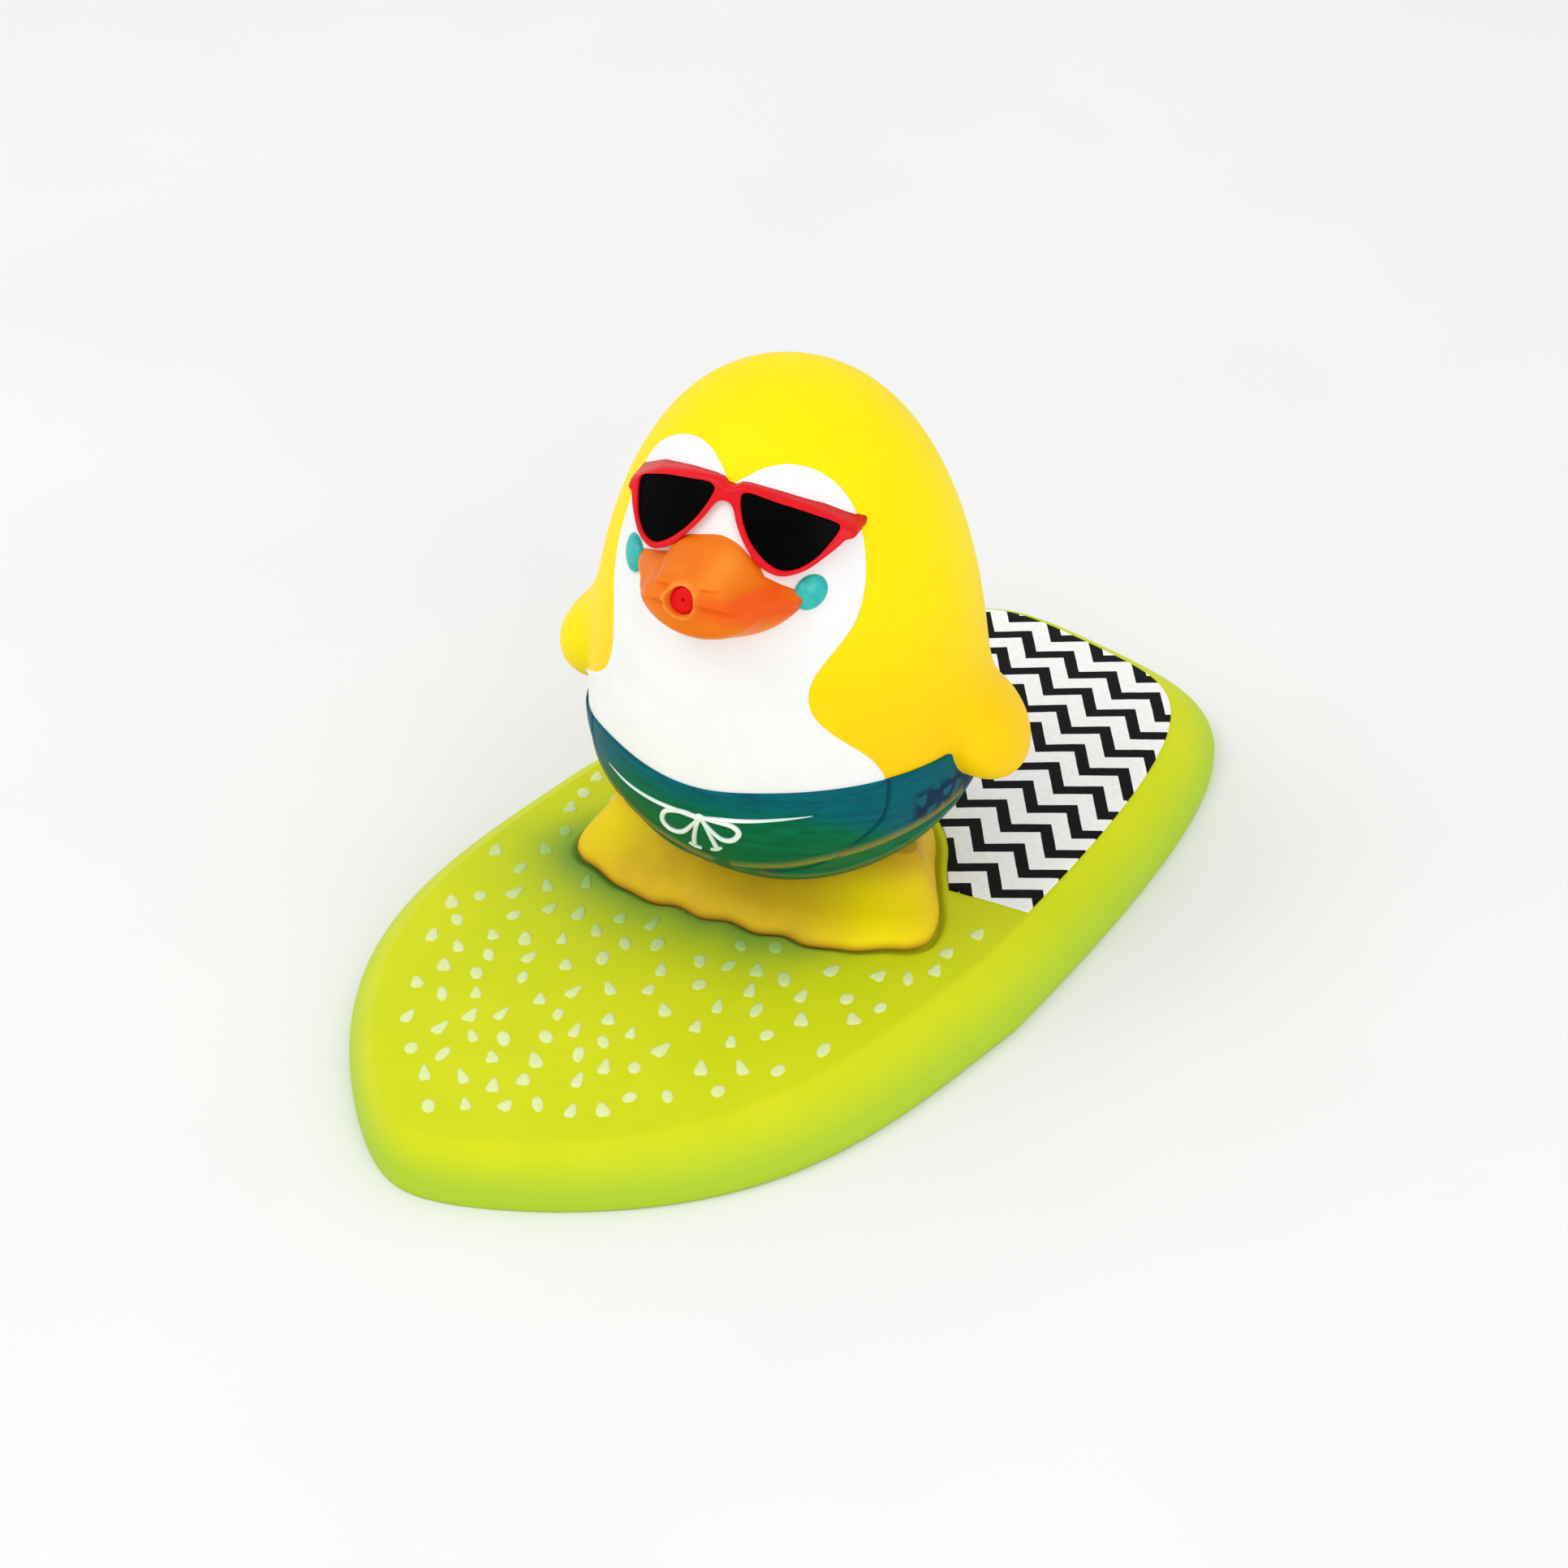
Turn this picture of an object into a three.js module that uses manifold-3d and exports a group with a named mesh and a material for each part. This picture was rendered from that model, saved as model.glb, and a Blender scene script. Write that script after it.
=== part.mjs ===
// A penguin squirt toy standing on a surfboard float, for the bath.
// Millimetres, +Z up. Origin: middle of the board's flat underside. The board's nose points to -Y.
import * as THREE from 'three';
import { mergeVertices } from 'three/addons/utils/BufferGeometryUtils.js';
import Module from 'manifold-3d';

const wasm = await Module();
wasm.setup();

// ---- Driving dimensions ----------------------------------------------------------------------

const GAP = 0.3; // clearance between neighbouring pieces

const BOARD_LENGTH = 169;
const BOARD_HALF_WIDTH = 45.5;
const BOARD_WIDEST_Y = 0.7;
// The plan is two halves of the superellipse family: a pointed nose and a squarer tail.
// widthPower and reachPower bend the sides, and tipRound is how blunt the very tip is.
const NOSE = { widthPower: 2.34, reachPower: 0.557, tipRound: 0.78 };
const TAIL = { widthPower: 0.457, reachPower: 1.93, tipRound: 0.05 };
const BOARD_SEGMENTS = 64;
const DECK_HEIGHT = 12; // at the middle of the crown
const DECK_CROWN = 1.75; // drop from the middle to the crease
const CREASE_INSET = 7; // from the rim to where the rail starts
const NOSE_INSET_RATIO = 0.34; // the crease runs closer to the rim at the nose tip
const RAIL_HEIGHT = 1.9; // height of the widest line of the rail
const RAIL_SHOULDER = 4.45; // how far below the crease the rail's curve turns down
const UNDERSIDE_INSET = 0.2; // the rail tucks in under its widest line
const BOARD_WALL = 2;
const BOTTOM_PLATE_THICKNESS = 2;
const BOTTOM_PLATE_LEDGE = 1.5; // width of the ledge that the plate butts against
const POCKET_DEPTH = 2; // the feet stand this deep in the deck
const PRINT_THICKNESS = 0.25;
const PRINT_FRONT_Y = 0.6; // where the print's swept front edge crosses the middle line
const PRINT_SWEEP = 0.37; // how far the edge runs back for each millimetre out from the middle

const PENGUIN_YAW = THREE.MathUtils.degToRad(17); // turned toward the board's left
const PENGUIN_PLACE = new THREE.Vector3(0.4, 0.9, 0); // its upright axis
const BODY_RADIUS = 30.2;
const BODY_WIDEST_Z = 40.5;
const BODY_TOP_Z = 97.4;
const BODY_BOTTOM_Z = 12.1;
const HEAD_BEND = { power: 2.03, root: 2.38 }; // superellipse powers above the widest place
const BASE_BEND = { power: 1.89, root: 1.48 }; // and below it
const BODY_DEPTH_RATIO = 0.95; // front to back, against side to side
const BODY_WALL = 2.5; // of the vinyl under the inlaid pieces
const INLAY_DEPTH = 1; // thickness of the white front

const FLIPPER_HALF_SIZE = new THREE.Vector3(5, 10.5, 17.5);
const FLIPPER_CENTRE = new THREE.Vector3(28.5, 5, 49.5); // on the penguin's left
const FLIPPER_TILT = THREE.MathUtils.degToRad(34); // out at the tip

const WAIST_Z = 44.5;
const TRUNKS_HEM_Z = 16.5;
const TRUNKS_PROUD = 0.6; // how far the trunks stand out of the body
const CORD_RADIUS = 0.5;

const FEET_SHIFT_X = -1.3; // the feet stand a little to the penguin's right
const FEET_BOTTOM_Z = 10.15;
const FEET_TOP_Z = 20;

const BEAK_HALF_SIZE = new THREE.Vector3(11.8, 13.5, 6.2);
const BEAK_SKIRT = 1.4; // thickness of the beak where it spreads over the face
const SQUIRT_HOLE = new THREE.Vector3(-2.4, -31.8, 78); // middle of the hole at the beak's tip
const SQUIRT_ROOT = new THREE.Vector3(0, -16, 74); // where the nozzle ends inside the body
const NOZZLE_RADIUS = 1.7;
const PINHOLE_RADIUS = 0.6;

const FRAME_PROUD = 2.2; // sunglasses' frame, from the face
const LENS_PROUD = 1.5;
// The cheeks aren't quite level, nor quite as far round as each other.
const CHEEK_LEFT = { degrees: 30, z: 75.8 };
const CHEEK_RIGHT = { degrees: -37, z: 74 };
const CHEEK_RADIUS = 2.5;
const CHEEK_PROUD = 1.3;

// ---- Solids ----------------------------------------------------------------------------------

function solid(geometry) {
  const bare = geometry.clone();
  bare.deleteAttribute('normal');
  bare.deleteAttribute('uv');
  const merged = mergeVertices(bare, 1e-3);
  return new wasm.Manifold(new wasm.Mesh({
    numProp: 3,
    vertProperties: new Float32Array(merged.attributes.position.array),
    triVerts: new Uint32Array(merged.index.array),
  }));
}

function toGeometry(manifold) {
  const { vertProperties, triVerts } = manifold.getMesh();
  const geometry = new THREE.BufferGeometry();
  geometry.setAttribute('position', new THREE.BufferAttribute(new Float32Array(vertProperties), 3));
  geometry.setIndex(new THREE.BufferAttribute(new Uint32Array(triVerts), 1));
  geometry.computeVertexNormals();
  return geometry;
}

function piece(name, manifold, color, roughness) {
  const material = new THREE.MeshStandardMaterial({ color, roughness, metalness: 0 });
  const mesh = new THREE.Mesh(toGeometry(manifold), material);
  mesh.name = name;
  return mesh;
}

const points2 = (pairs) => pairs.map(([x, y]) => new THREE.Vector2(x, y));

// A half outline, from the middle line round its +X side, and its mirror image, as one closed loop.
function mirrored(half) {
  const otherHalf = half.filter(([x]) => x > 0).map(([x, y]) => [-x, y]).reverse();
  return [...half, ...otherHalf];
}

const smoothLoop = (pairs, count) => new THREE.SplineCurve(points2([...pairs, pairs[0]])).getPoints(count);

// Moves a closed loop outward by a small distance. The loop may run either way round.
function grown(loop, distance) {
  const closed = loop[0].distanceTo(loop.at(-1)) < 1e-6 ? loop.slice(0, -1) : loop;
  const side = Math.sign(THREE.ShapeUtils.area(closed));
  return closed.map((point, i) => {
    const before = closed.at(i - 1);
    const after = closed[(i + 1) % closed.length];
    const along = after.clone().sub(before).normalize();
    return new THREE.Vector2(point.x + side * along.y * distance, point.y - side * along.x * distance);
  });
}

// A straight prism, standing on the loop, from z = low to z = high.
function uprightPrism(loop, low, high) {
  const options = { depth: high - low, bevelEnabled: false };
  const geometry = new THREE.ExtrudeGeometry(new THREE.Shape(loop), options);
  return solid(geometry.translate(0, 0, low));
}

const counterclockwise = (loop) => (THREE.ShapeUtils.isClockWise(loop) ? [...loop].reverse() : loop);

// A prism that runs forward from the penguin's middle, with the loop seen from the front (x, z).
function frontPrism(loop, holes = []) {
  const shape = new THREE.Shape(counterclockwise(loop));
  shape.holes = holes.map((hole) => new THREE.Path(hole));
  const geometry = new THREE.ExtrudeGeometry(shape, { depth: 2 * BODY_RADIUS, bevelEnabled: false });
  return solid(geometry.rotateX(Math.PI / 2));
}

// A lathe round Z whose every point is then moved by place(radius, angle, height).
// The angle is 0 toward +X and grows toward +Y.
function warpedLathe(profile, segments, place) {
  const geometry = new THREE.LatheGeometry(profile, segments).rotateX(Math.PI / 2);
  const position = geometry.attributes.position;
  for (let i = 0; i < position.count; i += 1) {
    const radius = Math.hypot(position.getX(i), position.getY(i));
    const angle = Math.atan2(position.getY(i), position.getX(i));
    position.setXYZ(i, ...place(radius, angle, position.getZ(i)));
  }
  return solid(geometry);
}

// ---- Surfboard -------------------------------------------------------------------------------

// A ring near the rim is the plan drawn in by its inset. A ring inside the crease is a smaller copy
// of the crease.
function boardPlace(radius, angle, height) {
  const inset = Math.min(BOARD_HALF_WIDTH - radius, CREASE_INSET);
  const scale = radius / (BOARD_HALF_WIDTH - inset);
  const side = Math.cos(angle);
  const ahead = Math.sin(angle);
  const isNose = ahead < 0;
  const { widthPower, reachPower, tipRound } = isNose ? NOSE : TAIL;
  const reach = isNose
    ? BOARD_LENGTH / 2 + BOARD_WIDEST_Y - inset * NOSE_INSET_RATIO
    : BOARD_LENGTH / 2 - BOARD_WIDEST_Y - inset;
  const bend = ((side ** 2 + tipRound ** 2) / (1 + tipRound ** 2)) ** ((widthPower - 1) / 2);
  return [
    scale * (BOARD_HALF_WIDTH - inset) * side * bend,
    scale * reach * Math.sign(ahead) * Math.abs(ahead) ** reachPower + BOARD_WIDEST_Y,
    height,
  ];
}

const boardSolid = (profile) => warpedLathe(points2(profile), BOARD_SEGMENTS, boardPlace);

// Height of the crowned deck at a ring radius, lowered by depth.
const creaseRadius = BOARD_HALF_WIDTH - CREASE_INSET;
const deckHeight = (radius, depth) => DECK_HEIGHT - depth - DECK_CROWN * (radius / creaseRadius) ** 2;
const crown = (depth, outerRadius) => [0, 0.55, 1].map((part) => {
  const radius = part * outerRadius;
  return [radius, deckHeight(radius, depth)];
});

// The rail: from the crease out and down to the widest line, in one round stretch.
function rail() {
  const curve = new THREE.QuadraticBezierCurve(
    new THREE.Vector2(creaseRadius, deckHeight(creaseRadius, 0)),
    new THREE.Vector2(BOARD_HALF_WIDTH - 0.4, deckHeight(creaseRadius, RAIL_SHOULDER)),
    new THREE.Vector2(BOARD_HALF_WIDTH, RAIL_HEIGHT),
  );
  return curve.getPoints(4).slice(1).map((point) => [point.x, point.y]);
}

// A lathe profile runs from the foot of the axis outward and back to the top of the axis.
function boardOutside() {
  const upward = [...crown(0, creaseRadius), ...rail()].reverse();
  return boardSolid([[0, 0], [BOARD_HALF_WIDTH - UNDERSIDE_INSET, 0], ...upward]);
}

const plateSeatRadius = BOARD_HALF_WIDTH - UNDERSIDE_INSET - 0.8 * BOARD_WALL;
const plateSeatZ = BOTTOM_PLATE_THICKNESS + GAP;

function boardInside() {
  const innerRadius = plateSeatRadius - BOTTOM_PLATE_LEDGE;
  const shoulderRadius = creaseRadius - BOARD_WALL;
  return boardSolid([
    [0, -1],
    [plateSeatRadius, -1],
    [plateSeatRadius, plateSeatZ],
    [innerRadius, plateSeatZ],
    [innerRadius, RAIL_HEIGHT + 2],
    ...crown(BOARD_WALL, shoulderRadius).reverse(),
  ]);
}

// ---- Feet outline, shared by the feet and by the pocket that they stand in -------------------

const feetLoop = smoothLoop(mirrored([
  [0, -19.1], [4.5, -20], [8.7, -18.9], [12.6, -19.6], [17, -18.5], [20, -17.7], [24, -15.4],
  [27.2, -14], [29.2, -11.2], [28.6, -6], [26, -0.5], [23.4, 5], [21, 11], [16.5, 16.2], [9, 18.8],
  [0, 19.4],
]).map(([x, y]) => [x + FEET_SHIFT_X, y]), 78);

// Puts a solid that is drawn in the penguin's frame where the penguin stands on the board.
const underPenguin = (manifold) => {
  return manifold.rotate([0, 0, THREE.MathUtils.radToDeg(PENGUIN_YAW)]).translate(PENGUIN_PLACE.toArray());
};

function boardDeck() {
  const pocketFloor = DECK_HEIGHT - POCKET_DEPTH;
  const pocket = underPenguin(uprightPrism(grown(feetLoop, 2 * GAP), pocketFloor, DECK_HEIGHT + 1));
  const pocketWallLoop = grown(feetLoop, BOARD_WALL);
  const pocketWall = underPenguin(uprightPrism(pocketWallLoop, pocketFloor - BOARD_WALL, DECK_HEIGHT));
  const cavity = boardInside().subtract(pocketWall);
  return boardOutside().subtract(cavity).subtract(pocket);
}

function boardBottom() {
  const radius = plateSeatRadius - GAP;
  return boardSolid([[0, 0], [radius, 0], [radius, BOTTOM_PLATE_THICKNESS], [0, BOTTOM_PLATE_THICKNESS]]);
}

// The printed tail pad: a thin film on the crown, behind the feet, that leaves a rim round them.
function deckPrint() {
  const radius = creaseRadius - GAP;
  const under = crown(-GAP, radius);
  const over = crown(-GAP - PRINT_THICKNESS, radius).reverse();
  const film = boardSolid([...under, ...over]);
  const far = BOARD_LENGTH;
  const sweptBack = PRINT_FRONT_Y + PRINT_SWEEP * far;
  const behind = points2([
    [-far, sweptBack], [0, PRINT_FRONT_Y], [far, sweptBack], [far, 2 * far], [-far, 2 * far],
  ]);
  const region = uprightPrism(behind, 0, 2 * DECK_HEIGHT);
  const rim = underPenguin(uprightPrism(grown(feetLoop, BOARD_WALL), 0, 2 * DECK_HEIGHT));
  return film.intersect(region).subtract(rim);
}

// ---- Penguin ---------------------------------------------------------------------------------

// Radius of the egg-shaped body at a height, grown outward by offset.
function bodyRadius(z, offset) {
  const isHead = z >= BODY_WIDEST_Z;
  const { power, root } = isHead ? HEAD_BEND : BASE_BEND;
  const reach = (isHead ? BODY_TOP_Z - BODY_WIDEST_Z : BODY_WIDEST_Z - BODY_BOTTOM_Z) + offset;
  const part = Math.min(Math.abs(z - BODY_WIDEST_Z) / reach, 1);
  return (BODY_RADIUS + offset) * (1 - part ** power) ** (1 / root);
}

// A point on the body, at an angle round from the front toward the penguin's left.
function onBody(degrees, z, offset) {
  const angle = THREE.MathUtils.degToRad(degrees);
  const radius = bodyRadius(z, offset);
  return new THREE.Vector3(radius * Math.sin(angle), -BODY_DEPTH_RATIO * radius * Math.cos(angle), z);
}

function egg(offset, segments = 36) {
  const quarter = (rings, reach, { power, root }) => Array.from({ length: rings + 1 }, (_, i) => {
    const turn = (i / rings) * (Math.PI / 2);
    const radius = i === rings ? 0 : (BODY_RADIUS + offset) * Math.cos(turn) ** (2 / root);
    return new THREE.Vector2(radius, BODY_WIDEST_Z + reach * Math.sin(turn) ** (2 / power));
  });
  const base = quarter(7, BODY_BOTTOM_Z - BODY_WIDEST_Z - offset, BASE_BEND).reverse();
  const head = quarter(9, BODY_TOP_Z - BODY_WIDEST_Z + offset, HEAD_BEND).slice(1);
  const geometry = new THREE.LatheGeometry([...base, ...head], segments).rotateX(Math.PI / 2);
  return solid(geometry.scale(1, BODY_DEPTH_RATIO, 1));
}

// The part of a solid between two heights.
function between(manifold, low, high) {
  return manifold.trimByPlane([0, 0, 1], low).trimByPlane([0, 0, -1], -high);
}

// A rod along the squirt hole's axis, from behind its root to well in front of the beak.
function squirtBore(radius) {
  const overrun = 4;
  const direction = SQUIRT_HOLE.clone().sub(SQUIRT_ROOT).normalize();
  const middle = SQUIRT_HOLE.clone().add(SQUIRT_ROOT).multiplyScalar(0.5);
  const length = SQUIRT_HOLE.distanceTo(SQUIRT_ROOT) + 2 * overrun;
  const geometry = new THREE.CylinderGeometry(radius, radius, length, 20);
  geometry.applyQuaternion(new THREE.Quaternion().setFromUnitVectors(new THREE.Vector3(0, 1, 0), direction));
  return solid(geometry.translate(middle.x, middle.y, middle.z));
}

// The white face and belly: two brow arches, full cheeks, a neck between the flippers, a wide waist.
const frontHalf = [
  [0, 88.7], [3, 90.4], [6.5, 91.2], [10, 90.2], [13.4, 88], [16.2, 84.6], [18.2, 80],
  [19, 75], [18.2, 70.4], [16, 66], [14, 62.5], [13.7, 59.5], [15.4, 56], [19.2, 52],
  [22.4, 47.5], [23.6, 44],
];

function frontLoop() {
  const side = new THREE.SplineCurve(points2(frontHalf)).getPoints(34);
  return points2(mirrored(side.map((point) => [Math.max(point.x, 0), point.y])));
}

function frontPanel() {
  const skin = between(egg(0).subtract(egg(-INLAY_DEPTH)), WAIST_Z + GAP, BODY_TOP_Z);
  return skin.intersect(frontPrism(frontLoop())).subtract(squirtBore(NOZZLE_RADIUS + GAP));
}

// A flat leaf that grows out of the body below the shoulder and swings out at its tip.
function flipper(side) {
  const { x, y, z } = FLIPPER_HALF_SIZE;
  const geometry = new THREE.SphereGeometry(1, 18, 12).rotateX(Math.PI / 2).scale(x, y, z);
  geometry.rotateY(-side * FLIPPER_TILT);
  return solid(geometry.translate(FLIPPER_CENTRE.x * side, FLIPPER_CENTRE.y, FLIPPER_CENTRE.z));
}

function penguinBody() {
  const core = egg(-INLAY_DEPTH - GAP);
  const skin = between(egg(0), WAIST_Z + GAP, BODY_TOP_Z + 1).subtract(frontPrism(grown(frontLoop(), GAP)));
  const trunksRoom = between(egg(TRUNKS_PROUD + GAP), 0, WAIST_Z + GAP);
  const flippers = flipper(1).add(flipper(-1)).subtract(trunksRoom);
  const outside = core.add(skin).add(flippers.subtract(egg(-INLAY_DEPTH - GAP)));
  return outside.subtract(egg(-INLAY_DEPTH - BODY_WALL, 24)).subtract(squirtBore(NOZZLE_RADIUS + GAP));
}

function swimTrunks() {
  const cup = egg(TRUNKS_PROUD).subtract(egg(-INLAY_DEPTH));
  return between(cup, TRUNKS_HEM_Z, WAIST_Z);
}

// ---- Drawstring ------------------------------------------------------------------------------

const cordSection = new THREE.Shape(new THREE.EllipseCurve(0, 0, CORD_RADIUS, CORD_RADIUS).getPoints(5));

// A cord that lies on the trunks, through places given as [degrees round from the front, height].
function cord(places, steps) {
  const path = new THREE.CatmullRomCurve3(places.map(([degrees, z]) => {
    return onBody(degrees, z, TRUNKS_PROUD + GAP + CORD_RADIUS);
  }));
  return solid(new THREE.ExtrudeGeometry(cordSection, { steps, extrudePath: path, bevelEnabled: false }));
}

function trunksDrawstring() {
  const waistCord = cord([[-36, 38.7], [-22, 38], [-8, 38], [6, 38.8], [20, 40], [29, 40.7]], 16);
  const leftLoop = cord([[-3, 38], [-9, 38], [-16, 35.8], [-14.6, 32.8], [-7.6, 34], [-2.6, 37.2]], 14);
  const rightLoop = cord([[-3, 38], [3, 38.1], [8.6, 36.8], [8, 34.2], [2.6, 34.2], [-2.4, 37.2]], 14);
  const leftTail = cord([[-3, 37.4], [-4.8, 34], [-7.4, 30]], 5);
  const rightTail = cord([[-3, 37.4], [-0.6, 34], [1, 30.6]], 5);
  const knot = new THREE.SphereGeometry(2 * CORD_RADIUS, 8, 6);
  const knotPlace = onBody(-3, 37.7, TRUNKS_PROUD + GAP + 2 * CORD_RADIUS);
  knot.translate(knotPlace.x, knotPlace.y, knotPlace.z);
  const parts = [waistCord, leftLoop, rightLoop, leftTail, rightTail];
  return parts.reduce((all, part) => all.add(part), solid(knot));
}

// ---- Feet ------------------------------------------------------------------------------------

// One webbed base for both feet. Its front slopes down to the toes, and its sides and heel stay steep.
function feet() {
  const heart = new THREE.Vector2(FEET_SHIFT_X, 3);
  const steepness = 0.75; // share of the slope that the sides and the heel don't take
  const innerRing = 0.5;
  const place = (radius, angle, height) => {
    const turn = THREE.MathUtils.euclideanModulo(angle / (2 * Math.PI) + 0.25, 1);
    const rim = feetLoop[Math.round(turn * (feetLoop.length - 1))].clone().sub(heart);
    const rearward = THREE.MathUtils.smoothstep(rim.y + heart.y, -19, -4);
    const ring = Math.max(radius, innerRing);
    const share = (1 - (1 - ring) * (1 - steepness * rearward)) * Math.min(radius / innerRing, 1);
    return [heart.x + rim.x * share, heart.y + rim.y * share, height];
  };
  const profile = points2([
    [0, FEET_BOTTOM_Z], [0.97, FEET_BOTTOM_Z], [1, 11.2], [0.99, 12.4], [0.94, 13.6], [0.84, 14.8],
    [0.72, 16.2], [0.6, 18.2], [innerRing, FEET_TOP_Z], [0, FEET_TOP_Z],
  ]);
  const base = warpedLathe(profile, feetLoop.length - 1, place);
  return base.subtract(egg(TRUNKS_PROUD + GAP));
}

// ---- Face ------------------------------------------------------------------------------------

// The beak: a broad bill with a peaked root between the lenses and corners that reach the cheeks.
const beakLoop = smoothLoop(mirrored([
  [0, 82.4], [2.6, 81.6], [5.2, 79.3], [7.8, 77.9], [9.6, 77.1], [9.8, 75.4], [8.4, 71.8],
  [4.6, 69.6], [0, 68.8],
]), 48);

function beak() {
  const { x, y, z } = BEAK_HALF_SIZE;
  const bill = new THREE.SphereGeometry(1, 24, 16).scale(x, y, z);
  bill.rotateX(THREE.MathUtils.degToRad(-12));
  bill.translate(0, SQUIRT_HOLE.y + y - 0.2, SQUIRT_HOLE.z - 2);
  const shape = solid(bill).add(egg(BEAK_SKIRT)).intersect(frontPrism(beakLoop));
  return shape.subtract(egg(GAP)).subtract(squirtBore(NOZZLE_RADIUS + GAP));
}

// The red insert: a plug with a pinhole that fills and empties the body.
function squirtNozzle() {
  const depthBehindLip = 0.8;
  return squirtBore(NOZZLE_RADIUS)
    .trimByPlane([0, 1, 0], SQUIRT_HOLE.y + depthBehindLip)
    .trimByPlane([0, -1, 0], -SQUIRT_ROOT.y)
    .subtract(squirtBore(PINHOLE_RADIUS));
}

const frameHalf = [
  [0, 89.3], [1.6, 90.1], [7.4, 89.9], [12.4, 88.4], [17.9, 85.6], [17.5, 83.3], [16.2, 83.2],
  [14.6, 81], [12.4, 79.3], [9.7, 78.5], [7.2, 79.2], [4.8, 81.5], [3, 84.4], [1.7, 87], [0, 87.6],
];
const lensLoop = smoothLoop([
  [2.4, 88.2], [5.4, 88.5], [10.6, 87.4], [15, 85], [13.9, 82], [12, 80.2], [9.7, 79.5], [7.6, 80.2],
  [5.6, 82.2], [3.6, 85.2],
], 30);

const mirrorLoop = (loop) => loop.map((point) => new THREE.Vector2(-point.x, point.y)).reverse();

function sunglassesFrame() {
  const shell = egg(FRAME_PROUD).subtract(egg(GAP));
  return shell.intersect(frontPrism(points2(mirrored(frameHalf)), [lensLoop, mirrorLoop(lensLoop)]));
}

function lens(loop) {
  const shell = egg(LENS_PROUD).subtract(egg(GAP));
  return shell.intersect(frontPrism(grown(loop, -GAP)));
}

function cheek({ degrees, z }) {
  const place = onBody(degrees, z, 0.2);
  const dome = new THREE.SphereGeometry(CHEEK_RADIUS, 14, 10);
  dome.translate(place.x, place.y, place.z);
  return solid(dome).intersect(egg(CHEEK_PROUD)).subtract(egg(GAP));
}

// ---- Assembly --------------------------------------------------------------------------------

const surfboard = new THREE.Group();
surfboard.add(
  piece('board_deck', boardDeck(), 0xd7e220, 0.55),
  piece('board_bottom', boardBottom(), 0xbed62f, 0.6),
  piece('deck_print', deckPrint(), 0xf4f4f2, 0.45),
);

const penguin = new THREE.Group();
penguin.rotation.z = PENGUIN_YAW;
penguin.position.copy(PENGUIN_PLACE);
penguin.add(
  piece('penguin_body', penguinBody(), 0xffef00, 0.5),
  piece('front_panel', frontPanel(), 0xffffff, 0.5),
  piece('swim_trunks', swimTrunks(), 0x00706f, 0.5),
  piece('trunks_drawstring', trunksDrawstring(), 0xf2f5f2, 0.5),
  piece('feet', feet(), 0xe8c814, 0.55),
  piece('beak', beak(), 0xf48220, 0.45),
  piece('squirt_nozzle', squirtNozzle(), 0xed1c24, 0.5),
  piece('sunglasses_frame', sunglassesFrame(), 0xed1c24, 0.35),
  piece('sunglasses_lens_left', lens(lensLoop), 0x0a0a0a, 0.15),
  piece('sunglasses_lens_right', lens(mirrorLoop(lensLoop)), 0x0a0a0a, 0.15),
  piece('cheek_left', cheek(CHEEK_LEFT), 0x46beb9, 0.4),
  piece('cheek_right', cheek(CHEEK_RIGHT), 0x46beb9, 0.4),
);

const toy = new THREE.Group();
toy.add(surfboard, penguin);

export default toy;
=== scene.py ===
"""The looks of a penguin squirt toy that stands on a surfboard float, for the bath.

Lengths are millimetres until a mesh is made. The penguin is drawn in its own frame, with x to its
left, -y to its front and z up, and is then turned and set on the board.
"""

import math
import random

import bmesh
import bpy
import numpy as np
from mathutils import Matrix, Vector, geometry
from mathutils.bvhtree import BVHTree


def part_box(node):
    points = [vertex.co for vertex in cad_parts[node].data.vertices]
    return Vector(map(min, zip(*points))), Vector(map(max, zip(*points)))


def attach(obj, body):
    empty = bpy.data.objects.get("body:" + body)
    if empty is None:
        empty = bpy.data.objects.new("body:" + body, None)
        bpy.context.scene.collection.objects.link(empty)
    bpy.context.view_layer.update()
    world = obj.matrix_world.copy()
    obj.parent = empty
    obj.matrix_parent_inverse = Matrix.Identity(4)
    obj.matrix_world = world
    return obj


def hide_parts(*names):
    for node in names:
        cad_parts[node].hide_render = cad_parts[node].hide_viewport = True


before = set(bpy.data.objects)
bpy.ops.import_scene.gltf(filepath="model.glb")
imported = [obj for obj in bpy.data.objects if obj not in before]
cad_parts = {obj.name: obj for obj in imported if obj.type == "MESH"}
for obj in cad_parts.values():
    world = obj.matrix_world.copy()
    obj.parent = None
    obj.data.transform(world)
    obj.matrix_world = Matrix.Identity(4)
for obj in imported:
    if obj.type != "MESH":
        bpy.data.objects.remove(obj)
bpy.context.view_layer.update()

# ---- Driving dimensions ----

MM = 0.001


def box_mm(node):
    """The low and high corners of a CAD node."""
    low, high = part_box(node)
    return np.array(low) / MM, np.array(high) / MM


DECK_LOW, DECK_HIGH = box_mm("board_deck")
BODY_LOW, BODY_HIGH = box_mm("penguin_body")
TRUNKS_LOW, TRUNKS_HIGH = box_mm("swim_trunks")

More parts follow.
